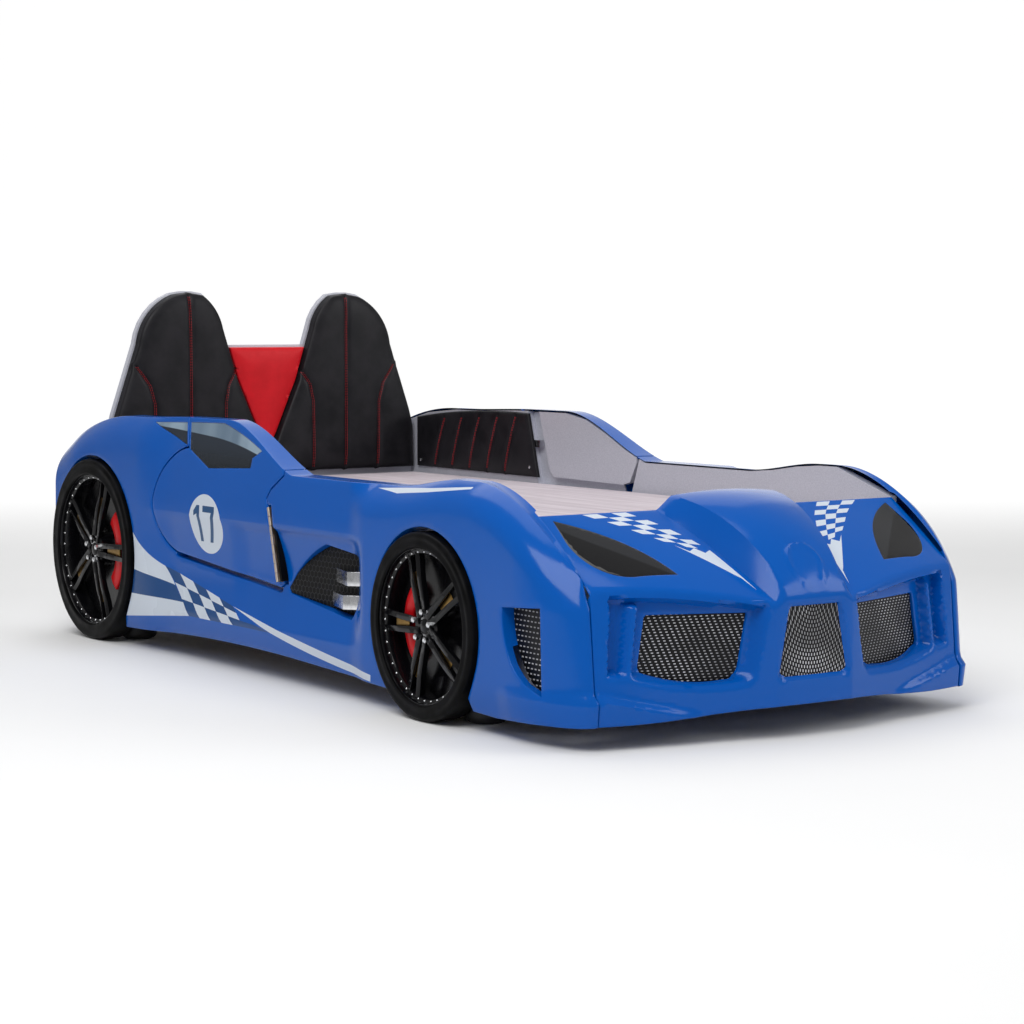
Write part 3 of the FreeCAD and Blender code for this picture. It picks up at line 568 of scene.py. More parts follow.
def side_point(p):
    """Right side at (w, z). w is y up to the front corner, then the way round it: a quarter of an ellipse."""
    w, z = p[:, 0], p[:, 1]
    turn = 0.5 * math.pi * np.clip((CORNER_Y - w) / CORNER_WAY, 0.0, 1.0)
    reach = CORNER_REACH - 0.1 * np.maximum(0.0, z - 100.0) - 0.35 * np.maximum(0.0, z - 268.0)
    y = np.where(w < CORNER_Y, CORNER_Y - reach * np.sin(turn), w)
    lip = splitter(z) * smooth((-865.0 - w) / 60.0)
    x = SEAM_X + (side_half_width(y, z) - SEAM_X + 0.4 * lip) * np.cos(turn)
    return np.stack([-x, y - lip * np.sin(turn), z], 1)


def top_edge(w):
    """Points (w, z) on the upper edge: z is found by going to and fro between y and the height there."""
    z = np.full(len(w), 450.0)
    for _ in range(6):
        z = top_height(side_point(np.stack([w, z], 1))[:, 1])
    return np.stack([w, z], 1)


def side_end(p):
    """Where a side skin's edges end: on the board's outer face, over its top edge, or behind the corner's seam."""
    end = side_point(p)
    board = end[:, 1] > DECK_REAR_Y - 2.0
    end[:, 0] = np.where(board, -BOARD_OUT_X - BASE, np.minimum(end[:, 0] + 16.0, -SEAM_X - 1.5))
    over = board & (p[:, 1] > top_height(end[:, 1]) - 4.0)
    end[:, 0] = np.where(over, -BOARD_IN_X, end[:, 0])
    end[:, 1] += np.where(p[:, 0] < CORNER_Y - CORNER_WAY + 6.0, 12.0, 0.0)
    return end


def arch(wheel, z_start, z_end):
    """Wheel arch, WHEEL_GAP clear of the tyre, from its rear foot over the top to its front foot."""
    hub, radius = wheel
    r = radius + WHEEL_GAP
    a0 = math.asin((z_start - radius) / r)
    a1 = math.pi - math.asin((z_end - radius) / r)
    return [(hub + r * math.cos(a), radius + r * math.sin(a)) for a in (a0, 0.5 * (a0 + a1), a1)]


def hinge_y(z):
    """The leaning pin's y at a height."""
    return HINGE_LOW[0] + (HINGE_HIGH[0] - HINGE_LOW[0]) * (z - HINGE_LOW[1]) / (HINGE_HIGH[1] - HINGE_LOW[1])


def glossy(name, base, rough=0.12, spec=0.22):
    """Moulded plastic with a thin gloss, a faint orange peel and traces of polishing."""
    m = Shader(name, base, rough, spec=spec)
    haze = m.noise(3.0, 4.0)
    m.rough(m.ramp(haze, 0.3, 0.7, rough, rough + 0.07))
    m.color(m.mix(m.ramp(m.noise(7.0, 3.0), 0.3, 0.7, 0.0, 0.12), base, [0.8 * c for c in base]))
    m.bump(m.noise(220.0, 2.0), 0.05, 0.0004)
    return m.material


BLUE = glossy("body_blue", (0.0, 0.088, 0.42))
WHITE_PRINT = glossy("white_print", (0.60, 0.66, 0.74), 0.25)
STEEL_PRINT = glossy("steel_print", (0.012, 0.065, 0.21), 0.2)

TOP_LINE = top_edge(np.arange(-1125.0, 1208.0, 6.0))
SIDE_OUTLINE = polyline([[(HALF_LENGTH, 245.0)], arch(REAR_WHEEL, 245.0, 74.0), [(785.0, 46.0)],
                         [(599.0, 53.0), (294.0, 64.0), (-81.0, 60.0)], arch(FRONT_WHEEL, 45.0, 66.0), [(-778.0, 40.0)],
                         [(-860.0, 37.0), (-995.0, 44.0)], [(-1125.0, 48.0)]] + corners(*TOP_LINE))
ABOVE = 650.0                 # any height over the shells
DOOR_OUTLINE = polyline([[(-10.0, ABOVE), (498.0, ABOVE)], [(459.0, 507.0)],
                         [(459.0, 507.0), (562.0, 463.0), (618.0, 376.0)],
                         [(618.0, 376.0), (592.0, 299.0), (518.0, 254.0)], [(24.0, 213.0)],
                         [(hinge_y(222.0) + 4.3, 222.0), (hinge_y(397.0) + 4.3, 397.0)],
                         [(60.0, 412.0), (42.0, 434.0)], [(-10.0, 467.0)]])
SILL_GAP = polyline(corners((14.0, 225.0), (14.0, 205.0), (24.0, 202.0), (518.0, 243.0), (530.0, 246.0),
                            (530.0, 275.0)))
HINGE_SLOT = polyline(corners((hinge_y(222.0) - 13.0, 222.0), (hinge_y(222.0) + 9.0, 222.0),
                              (hinge_y(397.0) + 9.0, 397.0), (hinge_y(397.0) - 13.0, 397.0)))
QUARTER_WINDOW = polyline(corners((650.0, 562.0), (488.0, 566.0), (470.0, 512.0)))
SIDE_VENT = polyline([[(-192.0, 325.0), (-345.0, 309.0)], [(-350.0, 295.0), (-330.0, 238.0), (-296.0, 172.0)],
                      [(-22.0, 205.0), (-14.0, 216.0)], [(-48.0, 252.0), (-104.0, 289.0), (-192.0, 325.0)]])
CORNER_VENT = polyline([[(-893.0, 258.0), (-992.0, 266.0)], [(-990.0, 101.0)],
                        [(-955.0, 117.0), (-909.0, 180.0), (-893.0, 258.0)]])

BAND_COLUMNS, BAND_ROWS = 5, 3
BAND_TOP = np.array([(579.0, 216.0), (229.0, 152.0)])
BAND_LOW = np.array([(436.0, 109.0), (161.0, 110.0)])


def band_point(column, row):
    """Corner of a chequer: columns run evenly along the ribbon's edges and rows between them."""
    t = column / BAND_COLUMNS
    top = BAND_TOP[0] * (1.0 - t) + BAND_TOP[1] * t
    low = BAND_LOW[0] * (1.0 - t) + BAND_LOW[1] * t
    return top + (low - top) * row / BAND_ROWS


AROUND = ((0, 0), (1, 0), (1, 1), (0, 1))     # the corners of a chequer in order


def chequers(odd):
    """Loops of every second chequer of the ribbon."""
    cells = [(i, j) for i in range(BAND_COLUMNS) for j in range(BAND_ROWS) if (i + j) % 2 == odd]
    return [polyline(corners(*[band_point(i + di, j + dj) for di, dj in AROUND]), PRINT_STEP) for i, j in cells]


SIDE_WHITE = chequers(1) + [
    polyline([[(752.0, 317.0), (669.0, 252.0), (579.0, 216.0)], [(528.0, 174.0), (740.0, 201.0)]], PRINT_STEP),
    polyline(corners((770.0, 138.0), (474.0, 138.0), (436.0, 109.0), (807.0, 74.0)), PRINT_STEP),
    polyline([[(229.0, 152.0), (-80.0, 108.0), (-399.0, 68.0)], [(-393.0, 53.0), (-150.0, 80.0), (37.0, 110.0)]],
             PRINT_STEP),
]
SIDE_STEEL = chequers(0) + [
    polyline(corners((740.0, 201.0), (528.0, 174.0), (474.0, 138.0), (770.0, 138.0)), PRINT_STEP),
    polyline(corners((184.0, 124.0), (106.0, 120.0), (37.0, 110.0), (161.0, 110.0)), PRINT_STEP),
]
WING_WHITE = [polyline(corners((-380.0, 458.0), (-470.0, 452.0), (-600.0, 462.0), (-745.0, 476.0), (-745.0, 480.0),
                               (-600.0, 470.0)), PRINT_STEP)]

holes = [grown(loop, ROLL) for loop in (grown(DOOR_OUTLINE, DOOR_GAP), SILL_GAP, HINGE_SLOT, SIDE_VENT,
                                        QUARTER_WINDOW, CORNER_VENT)]
crease = divided(np.array([-349.0, CREASE_Z]), np.array([620.0, CREASE_Z]), 8.0)
creases = [crease, crease - [0.0, CREASE_HIGH]]
lip_lines = [np.stack([np.arange(-1122.0, -860.0, 6.0), np.full(44, z)], 1) for z in (92.0, 106.0)]
side_flat, side_tris = region(grown(SIDE_OUTLINE, -ROLL), holes, 9.0,
                              [*creases, *lip_lines] + [closed(loop) for loop in SIDE_WHITE + SIDE_STEEL + WING_WHITE])
side_slots = printed(side_flat, side_tris, SIDE_WHITE + WING_WHITE, SIDE_STEEL)
both("side_shell", panel(side_flat, side_tris, side_point, -1.0, ROLL, end=side_end), [BLUE, WHITE_PRINT, STEEL_PRINT],
     stands_for=["side_shell"], slots=side_slots, sharp=50.0)


# ---------------------------------------------------------------- side vents
# A black honeycomb panel slopes inwards behind each front wing, and two angular chromed outlets stand out of it. The
# panel is pressed plastic and the outlets are plated mouldings, all clipped in from behind.
def honeycomb():
    """Hexagonal cells: the nearer centre of two staggered grids, and the distance across flats from it. The cells are
    painted darker than their walls, as painted shade inside them.
    """
    m = Shader("black_mesh", (0.012, 0.012, 0.013), 0.35, spec=0.25)
    x, y, z = m.xyz()
    pitch = 0.014

    def cell(u, v):
        a = m.math("ABSOLUTE", m.math("FRACT", u) - 0.5)
        b = m.math("ABSOLUTE", m.math("FRACT", v) - 0.5) * 1.732
        return m.math("MAXIMUM", a, a * 0.5 + b * 0.866)

    u, v = y * (1.0 / pitch), z * (1.0 / pitch / 1.732)
    away_from = m.math("MINIMUM", cell(u, v), cell(u + 0.5, v + 0.5))
    wall = m.ramp(away_from, 0.40, 0.46)
    # painted shade: the cells' middles are a deeper black than the walls
    m.color(m.mix(wall, (0.001, 0.001, 0.001), (0.014, 0.014, 0.016)))
    m.rough(m.ramp(wall, 0.0, 1.0, 0.7, 0.3))
    m.bump(wall, 0.8, 0.003)
    return m.material


def vent_slope(p):
    """A plane that leans inwards towards the front wheel."""
    return np.stack([-508.0 + 26.0 * np.clip(-p[:, 0] / 355.0, 0.0, 1.0), p[:, 0], p[:, 1]], 1)


def chrome_metal(name, base=(0.72, 0.73, 0.75), rough=0.08):
    """Bright plating with faint brushing."""
    m = Shader(name, base, rough, metal=1.0)
    m.rough(m.ramp(m.noise(40.0, 4.0, stretch=(1.0, 6.0, 1.0)), 0.3, 0.7, rough, rough + 0.12))
    m.bump(m.noise(300.0), 0.04, 0.0003)
    return m.material


COMB, CHROME = honeycomb(), chrome_metal("chrome")
flat, tris = region(grown(SIDE_VENT, -1.5), step=10.0)
both("side_vent", panel(flat, tris, vent_slope, -1.0, 0.8, 1.8, back=True), COMB, stands_for=["side_vent"])

OUTLET = ((-492.0, 22.0), (-519.5, -72.0), (-517.5, -76.0), (-488.0, -110.0), (-482.0, -60.0))
OUTLET_HIGH = 30.5
outlets = []
for y, z in ((-214.0, 244.0), (-196.0, 192.0)):
    flat, tris = region(grown(polyline(corners(*[(x, y + dy) for x, dy in OUTLET])), -1.0), step=12.0)
    top = lambda p, z=z: np.stack([p[:, 0], p[:, 1], np.full(len(p), z + OUTLET_HIGH)], 1)
    outlets.append(panel(flat, tris, top, 1.0, 0.8, OUTLET_HIGH - 0.5, back=True))
both("vent_outlets", joined(*outlets), CHROME, stands_for=["vent_outlets"])


# ---------------------------------------------------------------- corner vents
# A black perforated sheet closes the opening in each front corner. It is pushed in from behind against the moulding.
def dash_mesh(name, pitch_u, pitch_v, long, high, across, shift=0.22, rings=None):
    """Perforated sheet: rows of dash-shaped holes along the axis `across`, each row shifted by a share of the pitch.
    With `rings`, the rows are circles round the point (0, rings)."""
    m = Shader(name, (0.004, 0.004, 0.005), 0.4, spec=0.2)
    x, y, z = m.xyz()
    along = m.math("ABSOLUTE", x) * -1.0 if across == "x" else y
    v = z * (1.0 / pitch_v)
    if rings:
        v = m.math("SQRT", x * x + (z - rings) * (z - rings)) * (1.0 / pitch_v)
    u = along * (1.0 / pitch_u) + m.math("FLOOR", v) * shift
    a = m.math("ABSOLUTE", m.math("FRACT", u) - 0.5) * (pitch_u / long)
    b = m.math("ABSOLUTE", m.math("FRACT", v) - 0.5) * (pitch_v / high)
    hole = m.ramp(m.math("MAXIMUM", a, b), 0.42, 0.55, 1.0, 0.0)
    glint = m.ramp(m.noise(9.0, 3.0), 0.35, 0.65, 0.45, 1.0)
    m.color(m.mix(hole * glint, (0.004, 0.004, 0.005), (0.62, 0.62, 0.65)))
    m.rough(m.ramp(hole, 0.0, 1.0, 0.4, 0.8))
    m.bump(hole, -0.5, 0.001)
    return m.material


def back_wall(p):
    """A plane square to the car's width, behind the corner."""
    return np.stack([np.full(len(p), -507.0), p[:, 0], p[:, 1]], 1)


CORNER_MESH = dash_mesh("black_mesh", 0.012, 0.010, 0.006, 0.0026, "y")
flat, tris = region(grown(CORNER_VENT, -1.5), step=12.0)
both("corner_vent", panel(flat, tris, back_wall, -1.0, 0.5, 2.4, back=True), CORNER_MESH, stands_for=["corner_vent"])


# ---------------------------------------------------------------- front moulding
# One thermoformed moulding makes the bonnet, its blunt raised middle, the lip over the three mouths and the splitter.
# It is screwed to the front board and to both side shells, and chequered ribbons are printed on its bonnet.
FRONT_X = 465.0
NOSE_Y, NOSE_RAKE, NOSE_FLAT = -1190.0, 0.288, 96.0      # the lip: its front, its rake and its straight half-width
BONNET_REAR, BONNET_LONG = -908.0, 282.0
SHOULDER = 0.8                # where the hood's flat flanks meet its dome, as a share of its half-width
LIP_ROUND = 9.0
BOSS = (0.0, 33.0, 46.0, 34.0)        # oval boss on the nose: x, distance behind the lip, half-width, half-length
MOUTH_DEEP, RIB_HIGH = 26.0, 22.0     # depth of the outer mouths, and height of the upright rib in each
MOUTH = polyline([[(-112.0, 262.0), (-426.0, 290.0)], [(-440.0, 138.0)],
                  [(-385.0, 130.0), (-270.0, 107.0), (-150.0, 110.0)], [(-136.0, 126.0), (-112.0, 262.0)]])
GRILLE = polyline([[(-141.0, 247.0), (-342.0, 250.0)], [(-346.0, 246.0), (-362.0, 152.0)],
                   [(-358.0, 143.0), (-272.0, 121.0), (-190.0, 121.0)],
                   [(-190.0, 121.0), (-168.0, 127.0), (-157.0, 148.0)]])
CENTRE = polyline(corners((-60.0, 256.0), (60.0, 256.0), (82.0, 130.0), (72.0, 122.0), (-72.0, 122.0), (-82.0, 130.0)))
LAMP = polyline([[(-434.0, -919.0), (-341.0, -981.0), (-265.0, -1097.0)], [(-265.0, -1097.0), (-346.0, -1085.0)],
                 [(-346.0, -1085.0), (-424.0, -1042.0), (-443.0, -975.0)]])
RECESS = polyline(corners((-68.0, 261.0), (68.0, 261.0), (94.0, 124.0), (82.0, 114.0), (-82.0, 114.0), (-94.0, 124.0)))


def away(points, line):
    """Distance from every point to the nearest point of a line, in blocks."""
    blocks = np.array_split(points, len(points) // 4000 + 1)
    return np.concatenate([np.sqrt(((b[:, None] - line[None]) ** 2).sum(2).min(1)) for b in blocks])


def fin_start(x):
    """Height where the lip starts: it runs down from the corners towards the middle."""
    return 110.0 - 0.21 * np.maximum(0.0, 452.0 - np.abs(x))


def nose_y(x, z):
    """Front face in plan: blunt in the middle, raked back outwards, leaning forward towards the splitter."""
    lip = NOSE_Y + NOSE_RAKE * np.maximum(0.0, np.abs(x) - NOSE_FLAT)
    lip -= 3.0 * np.maximum(0.0, 1.0 - (x / NOSE_FLAT) ** 2)
    lean = 1.0 - np.clip((z - 100.0) / 200.0, 0.0, 1.0)
    return lip - 18.0 * lean * (x / SEAM_X) ** 2


def ridge_x(y):
    """Half-width of the raised middle, which narrows evenly towards the nose."""
    return 169.0 - 73.0 * (BONNET_REAR - y) / BONNET_LONG


def bonnet_z(x, y):
    """A sloping sheet that droops at its corners. Its raised middle has flat flanks and a low dome between them."""
    t = (BONNET_REAR - y) / BONNET_LONG
    sheet = 430.0 - 165.0 * t + 9.0 * np.sin(math.pi * np.clip(t, 0.0, 1.0))
    droop = 36.0 * np.maximum(0.0, (-905.0 - y) / 176.0) * (np.minimum(np.abs(x), SEAM_X) / SEAM_X) ** 4
    run = np.clip((-905.0 - y) / 293.0, 0.0, 1.0)
    middle = 262.0 + 204.0 * (1.0 - run * run) ** 0.714 - sheet
    u = np.minimum(1.0, np.abs(x) / ridge_x(y))
    return sheet - droop + middle * np.minimum((1.0 - u) * 3.9, 1.0 - 0.22 * (u / SHOULDER) ** 2)


def lip_y(x):
    """The lip in plan: the nose at its height."""
    return nose_y(x, 300.0)


def lip_z(x):
    """The lip's height: the bonnet where it meets the nose."""
    return bonnet_z(x, lip_y(x))


def hollow(x, z, loop, deep, slope):
    """Depth of a smooth hollow: a smooth step from its outline inwards over the width `slope`."""
    p = np.stack([x, z], 1)
    box = (x > loop[:, 0].min()) & (x < loop[:, 0].max()) & (z > loop[:, 1].min()) & (z < loop[:, 1].max())
    depth = np.zeros(len(x))
    if box.any():
        width = slope[box] if np.ndim(slope) else slope
        depth[box] = deep * smooth(away(p[box], loop) / width) * inside(p[box], loop)
    return depth


def front_raw(x, v):
    """v is the distance behind the lip along Y where positive, and below it where negative."""
    z = np.where(v > 0.0, bonnet_z(x, lip_y(x) + np.maximum(v, 0.0)), lip_z(x) + v)
    y = np.where(v > 0.0, lip_y(x) + v, nose_y(x, z) - smooth((np.abs(x) - 210.0) / 130.0) * splitter(z, fin_start(x)))
    below = v < 0.0
    side, high = -np.abs(x[below]), z[below]
    slope = 8.0 + 5.0 * smooth((270.0 - high) / 30.0) + 14.0 * smooth((170.0 - high) / 60.0)
    mouth = hollow(side, high, MOUTH, MOUTH_DEEP, slope)
    rib = np.exp(-((side + 376.0 + 0.125 * (280.0 - high)) / 11.0) ** 4) * smooth((278.0 - high) / 10.0)
    y[below] += mouth * (1.0 - RIB_HIGH / MOUTH_DEEP * rib) + hollow(x[below], high, RECESS, 8.0, 9.0)
    rho = np.sqrt(((x - BOSS[0]) / BOSS[2]) ** 2 + ((v - BOSS[1]) / BOSS[3]) ** 2)
    z = z + 4.5 * smooth((1.0 - rho) / 0.14) - 3.5 * smooth((0.84 - rho) / 0.12)
    return np.stack([x, y, z], 1)


def front_point(p):
    """The moulding at (x, v), its lip rounded by the quadratic curve through points LIP_ROUND either side of it."""
    x, v = p[:, 0], p[:, 1]
    t = np.clip((v + LIP_ROUND) / (2.0 * LIP_ROUND), 0.0, 1.0)[:, None]
    flat = np.zeros(len(x))
    low, mid, high = (front_raw(x, flat + d) for d in (-LIP_ROUND, 0.0, LIP_ROUND))
    curve = (1.0 - t) ** 2 * low + 2.0 * t * (1.0 - t) * mid + t * t * high
    return np.where((np.abs(v) < LIP_ROUND)[:, None], curve, front_raw(x, v))


def on_face(loop):
    """A loop drawn in (x, z) taken to the front's own (x, v)."""
    return np.stack([loop[:, 0], loop[:, 1] - lip_z(loop[:, 0])], 1)


def on_bonnet(loop):
    """A loop drawn in (x, y) taken to (x, v)."""
    return np.stack([loop[:, 0], loop[:, 1] - lip_y(loop[:, 0])], 1)


def mirrored(loop):
    """The loop on the other side of the middle."""
    return loop[::-1] * [-1.0, 1.0]


def ellipse(centre, half_u, half_v, n=72):
    """Closed outline: the cosine and sine of even angles, scaled by the two half-axes."""
    a = np.arange(n) * 2.0 * math.pi / n
    return np.stack([centre[0] + half_u * np.cos(a), centre[1] + half_v * np.sin(a)], 1)


OUTER_EDGE = np.array([(-356.0, -909.0), (-302.0, -945.0), (-257.0, -986.0), (-216.0, -1022.0)])
INNER_EDGE = np.array([(-250.0, -909.0), (-208.0, -948.0), (-171.0, -999.0), (-146.0, -1043.0)])
PRINT_COLUMNS, PRINT_ROWS = 3, 8


def print_point(column, row):
    """Corner of a bonnet chequer: rows run evenly along both edges of the ribbon and columns between them."""
    at = 3.0 * row / PRINT_ROWS
    outer, inner = (np.array([np.interp(at, np.arange(4), edge[:, k]) for k in (0, 1)])
                    for edge in (OUTER_EDGE, INNER_EDGE))
    return outer + (inner - outer) * column / PRINT_COLUMNS


BONNET_PRINT = [polyline(corners(*[print_point(i + di, j + dj) for di, dj in AROUND]), 9.0)
                for i in range(PRINT_COLUMNS) for j in range(PRINT_ROWS) if (i + j) % 2 == 0]
BONNET_PRINT.append(polyline(corners((-216.0, -1022.0), (-194.0, -1042.0), (-178.0, -1034.0), (-162.0, -1050.0),
                                     (-146.0, -1043.0), (-118.0, -1155.0), (-131.0, -1122.0), (-140.0, -1113.0)), 9.0))
xs = np.linspace(-FRONT_X, FRONT_X, 150)
rear_edge = np.stack([xs, DECK_REAR_Y - lip_y(xs)], 1)
foot = np.stack([xs, 65.0 - 17.0 * smooth((np.abs(xs) - 60.0) / 360.0) - lip_z(xs)], 1)
sides = [np.stack([np.full(30, x), np.linspace(a, b, 32)[1:-1]], 1)
         for x, a, b in ((FRONT_X, rear_edge[-1, 1], foot[-1, 1]), (-FRONT_X, foot[0, 1], rear_edge[0, 1]))]
front_loop = np.concatenate([rear_edge, sides[0], foot[::-1], sides[1]])
fin_xs = np.linspace(262.0, FRONT_X - 10.0, 34)
levels = [np.stack([k * fin_xs, fin_start(fin_xs) - drop - lip_z(fin_xs)], 1)
          for k in (-1.0, 1.0) for drop in (3.0, 16.0)]
ridge_ys = np.arange(-1186.0, BONNET_REAR, 7.0)
ridges = [np.stack([k * ridge_x(ridge_ys), ridge_ys - lip_y(k * ridge_x(ridge_ys))], 1)
          for k in (-1.0, -SHOULDER, SHOULDER, 1.0)]
boss_lines = [closed(ellipse(BOSS[:2], k * BOSS[2], k * BOSS[3], 60)) for k in (1.0, 0.86)]
lip_rows = [np.stack([xs[1:-1], np.full(len(xs) - 2, v)], 1) for v in (-9.0, -4.5, 0.0, 4.5, 9.0)]
openings = [on_face(grown(GRILLE, ROLL)), mirrored(on_face(grown(GRILLE, ROLL))), on_face(grown(CENTRE, ROLL)),
            on_bonnet(grown(LAMP, 1.0)), mirrored(on_bonnet(grown(LAMP, 1.0)))]
prints = [on_bonnet(loop) for loop in BONNET_PRINT]
prints += [mirrored(loop) for loop in prints]
flat, tris = region(grown(front_loop, -ROLL), openings, 6.5,
                    levels + ridges + boss_lines + lip_rows + [closed(loop) for loop in prints])


def front_end(p):
    """Last row of each edge: straight back from the face, straight down from the bonnet."""
    at = front_point(p)
    face = p[:, 1] < -2.0
    rear = p[:, 1] > DECK_REAR_Y - lip_y(p[:, 0]) - 8.0
    at[:, 1] += np.where(face, 9.0, 0.0)
    at[:, 2] -= np.where(face, 0.0, np.where(rear, 18.0, 4.0))
    return at


piece("front_shell", panel(flat, tris, front_point, 1.0, ROLL, end=front_end), [BLUE, WHITE_PRINT],
      stands_for=["front_shell"], slots=printed(flat, tris, prints), sharp=38.0)


# ---------------------------------------------------------------- grilles
# Three black perforated sheets close the mouths from behind. The outer two have rows of slots, and the middle one has
# slots in rings.
GRILLE_BEHIND, CENTRE_BEHIND = 30.5, 6.5


def grille_plane(p):
    """Just behind the floor of a mouth, raked like the nose."""
    return np.stack([p[:, 0], NOSE_Y + NOSE_RAKE * (np.abs(p[:, 0]) - NOSE_FLAT) + GRILLE_BEHIND, p[:, 1]], 1)


def centre_plane(p):
    """Just behind the middle mouth, square to the car's length."""
    return np.stack([p[:, 0], np.full(len(p), NOSE_Y + CENTRE_BEHIND), p[:, 1]], 1)


GRILLE_MESH = dash_mesh("black_mesh", 0.0115, 0.0056, 0.0046, 0.0020, "x")
CENTRE_MESH = dash_mesh("black_mesh", 0.0072, 0.0080, 0.0026, 0.0056, "x", 0.5, 0.275)
flat, tris = region(grown(GRILLE, 6.0), step=14.0)
both("grille", panel(flat, tris, grille_plane, 1.0, 0.3, 2.0, back=True), GRILLE_MESH, stands_for=["grille"])
flat, tris = region(grown(CENTRE, 3.0), step=14.0)
piece("centre_grille", panel(flat, tris, centre_plane, 1.0, 0.3, 2.0, back=True), CENTRE_MESH,
      stands_for=["centre_grille"])


# ---------------------------------------------------------------- headlights
# Smoked lenses of clear plastic, glued in flush with the bonnet. Their one clear surface is painted black below a
# slanted line and grey above it: the grey is painted light, standing for the upper facet as it catches the light.
def smoked():
    """Two dark tints that meet on a slanted line, under a thin gloss. The lighter upper tint is painted light on the
    upper facet.
    """
    m = Shader("lamp_smoke", (0.01, 0.01, 0.011), 0.05, coat=0.1, spec=0.4)
    x, y, z = m.xyz()
    x = m.math("ABSOLUTE", x)
    # upper: where the lens is painted a lighter grey, painted light for the facet that faces the light
    upper = m.ramp(y + 1.085 - (x - 0.285) * 0.93, -0.004, 0.004)
    m.color(m.mix(upper, (0.003, 0.003, 0.004), (0.016, 0.017, 0.020)))
    m.rough(m.ramp(m.noise(25.0, 3.0), 0.3, 0.7, 0.03, 0.09))
    m.bump(m.noise(60.0), 0.05, 0.0008)
    return m.material


SMOKED = smoked()
flat, tris = region(on_bonnet(grown(LAMP, -0.8)), step=8.0)
lens = lambda p: front_point(p) - [0.0, 0.0, 0.8]
both("headlight", panel(flat, tris, lens, 1.0, 0.8, 2.0, back=True), SMOKED, stands_for=["headlight"])


# ---------------------------------------------------------------- piano hinges
# Rolled brass hinges hang the doors. Their knuckles alternate between the two leaves on one leaning pin. A black rubber
# strip in the gap between each hinge and the shell in front of it is painted shade: a dark piece that stands for the
# shadow in that gap.
HINGE_X, LEAF_OUT, KNUCKLE_R, KNUCKLES = 526.0, 15.0, 3.9, 8
LEAF_AT, LEAF_HALF = 3.3, 0.6             # where each leaf lies to its side of the pin, and half its thickness
HINGE_LONG = float(np.linalg.norm(HINGE_HIGH - HINGE_LOW))
HINGE_UP = (HINGE_HIGH - HINGE_LOW) / HINGE_LONG
HINGE_BACK = np.array([HINGE_UP[1], -HINGE_UP[0]])


def by_hinge(p):
    """Points (inwards, towards the door, up the pin) placed at the right-hand hinge."""
    yz = HINGE_LOW + p[:, 1:2] * HINGE_BACK + p[:, 2:3] * HINGE_UP
    return np.stack([p[:, 0] - HINGE_X, yz[:, 0], yz[:, 1]], 1)


def slab(low, high):
    """Box between two corners."""
    c = np.array([[(low, high)[(i >> k) & 1][k] for k in range(3)] for i in range(8)], float)
    quads = [[0, 2, 3, 1], [4, 5, 7, 6], [0, 1, 5, 4], [2, 6, 7, 3], [0, 4, 6, 2], [1, 3, 7, 5]]
    return outward((c, [np.array(quads)]))


def rubber():
    """Dull black rubber with a dusty sheen."""
    m = Shader("tyre_black", (0.004, 0.004, 0.005), 0.42, spec=0.06)
    m.color(m.mix(m.ramp(m.noise(18.0, 5.0), 0.35, 0.65), (0.002, 0.002, 0.002), (0.005, 0.005, 0.006)))
    m.rough(m.ramp(m.noise(30.0, 4.0), 0.3, 0.7, 0.36, 0.5))
    m.bump(m.noise(700.0, 3.0), 0.12, 0.0004)
    return m.material


BRASS, RUBBER = chrome_metal("brass", (0.66, 0.56, 0.46), 0.3), rubber()
for node, first, side, body in (("hinge_body_leaf", 0, -1.0, "bed"), ("hinge_door_leaf", 1, 1.0, "door")):
    low, high = side * LEAF_AT - LEAF_HALF, side * LEAF_AT + LEAF_HALF
    made = [slab((KNUCKLE_R + 0.6, low, 0.3), (LEAF_OUT, high, HINGE_LONG - 0.3))]
    for i in range(first, KNUCKLES, 2):
        z0, z1 = i * HINGE_LONG / KNUCKLES + 0.6, (i + 1) * HINGE_LONG / KNUCKLES - 0.6
        profile = [(1.7, z0), (3.4, z0), (KNUCKLE_R, z0 + 0.5), (KNUCKLE_R, z1 - 0.5), (3.4, z1), (1.7, z1)]
        made += [grid(turned(profile, 20), True, True), slab((2.0, low, z0), (KNUCKLE_R + 0.8, high, z1))]
    verts, faces = joined(*[outward(mesh) for mesh in made])
    both(node, outward((by_hinge(verts), faces)), BRASS, body, stands_for=[node], sharp=30.0)
# Painted shade: a black slab in the slot in front of each hinge, standing for the shadow in the gap.
gap_shade_verts, gap_shade_faces = slab((4.5, -12.0, 1.0), (26.0, -4.5, HINGE_LONG - 1.0))
both("hinge_seal", (by_hinge(gap_shade_verts), gap_shade_faces), RUBBER)
show(["right_hinge_pin", "left_hinge_pin"], BRASS)
show(["door_catches"], CHROME)


# ---------------------------------------------------------------- doors
# Each door is a shorter shell of the same plastic, screwed to its own board. A white disc on it carries a plain number
# that reads forwards on both sides of the car.
INK = glossy("number_ink", (0.012, 0.07, 0.19), 0.25)
DOOR_WINDOW = polyline([[(469.0, 567.0), (303.0, 570.0)], [(303.0, 570.0), (190.0, 543.0), (103.0, 514.0)],
                        [(143.0, 497.0), (146.0, 474.0)], [(350.0, 464.0), (453.0, 504.0)]])
ROUNDEL = ellipse((352.0, 333.0), 80.0, 70.0, 64)
DIGITS_Y = 354.0              # middle of the number
DIGITS = [polyline(corners((392.0, 376.0), (378.0, 376.0), (378.0, 290.0), (392.0, 290.0), (392.0, 356.0),
                           (408.0, 350.0), (408.0, 362.0)), 8.0),
          polyline(corners((362.0, 376.0), (304.0, 376.0), (304.0, 362.0), (330.0, 290.0), (345.0, 290.0),
                           (320.0, 361.0), (362.0, 361.0)), 8.0)]


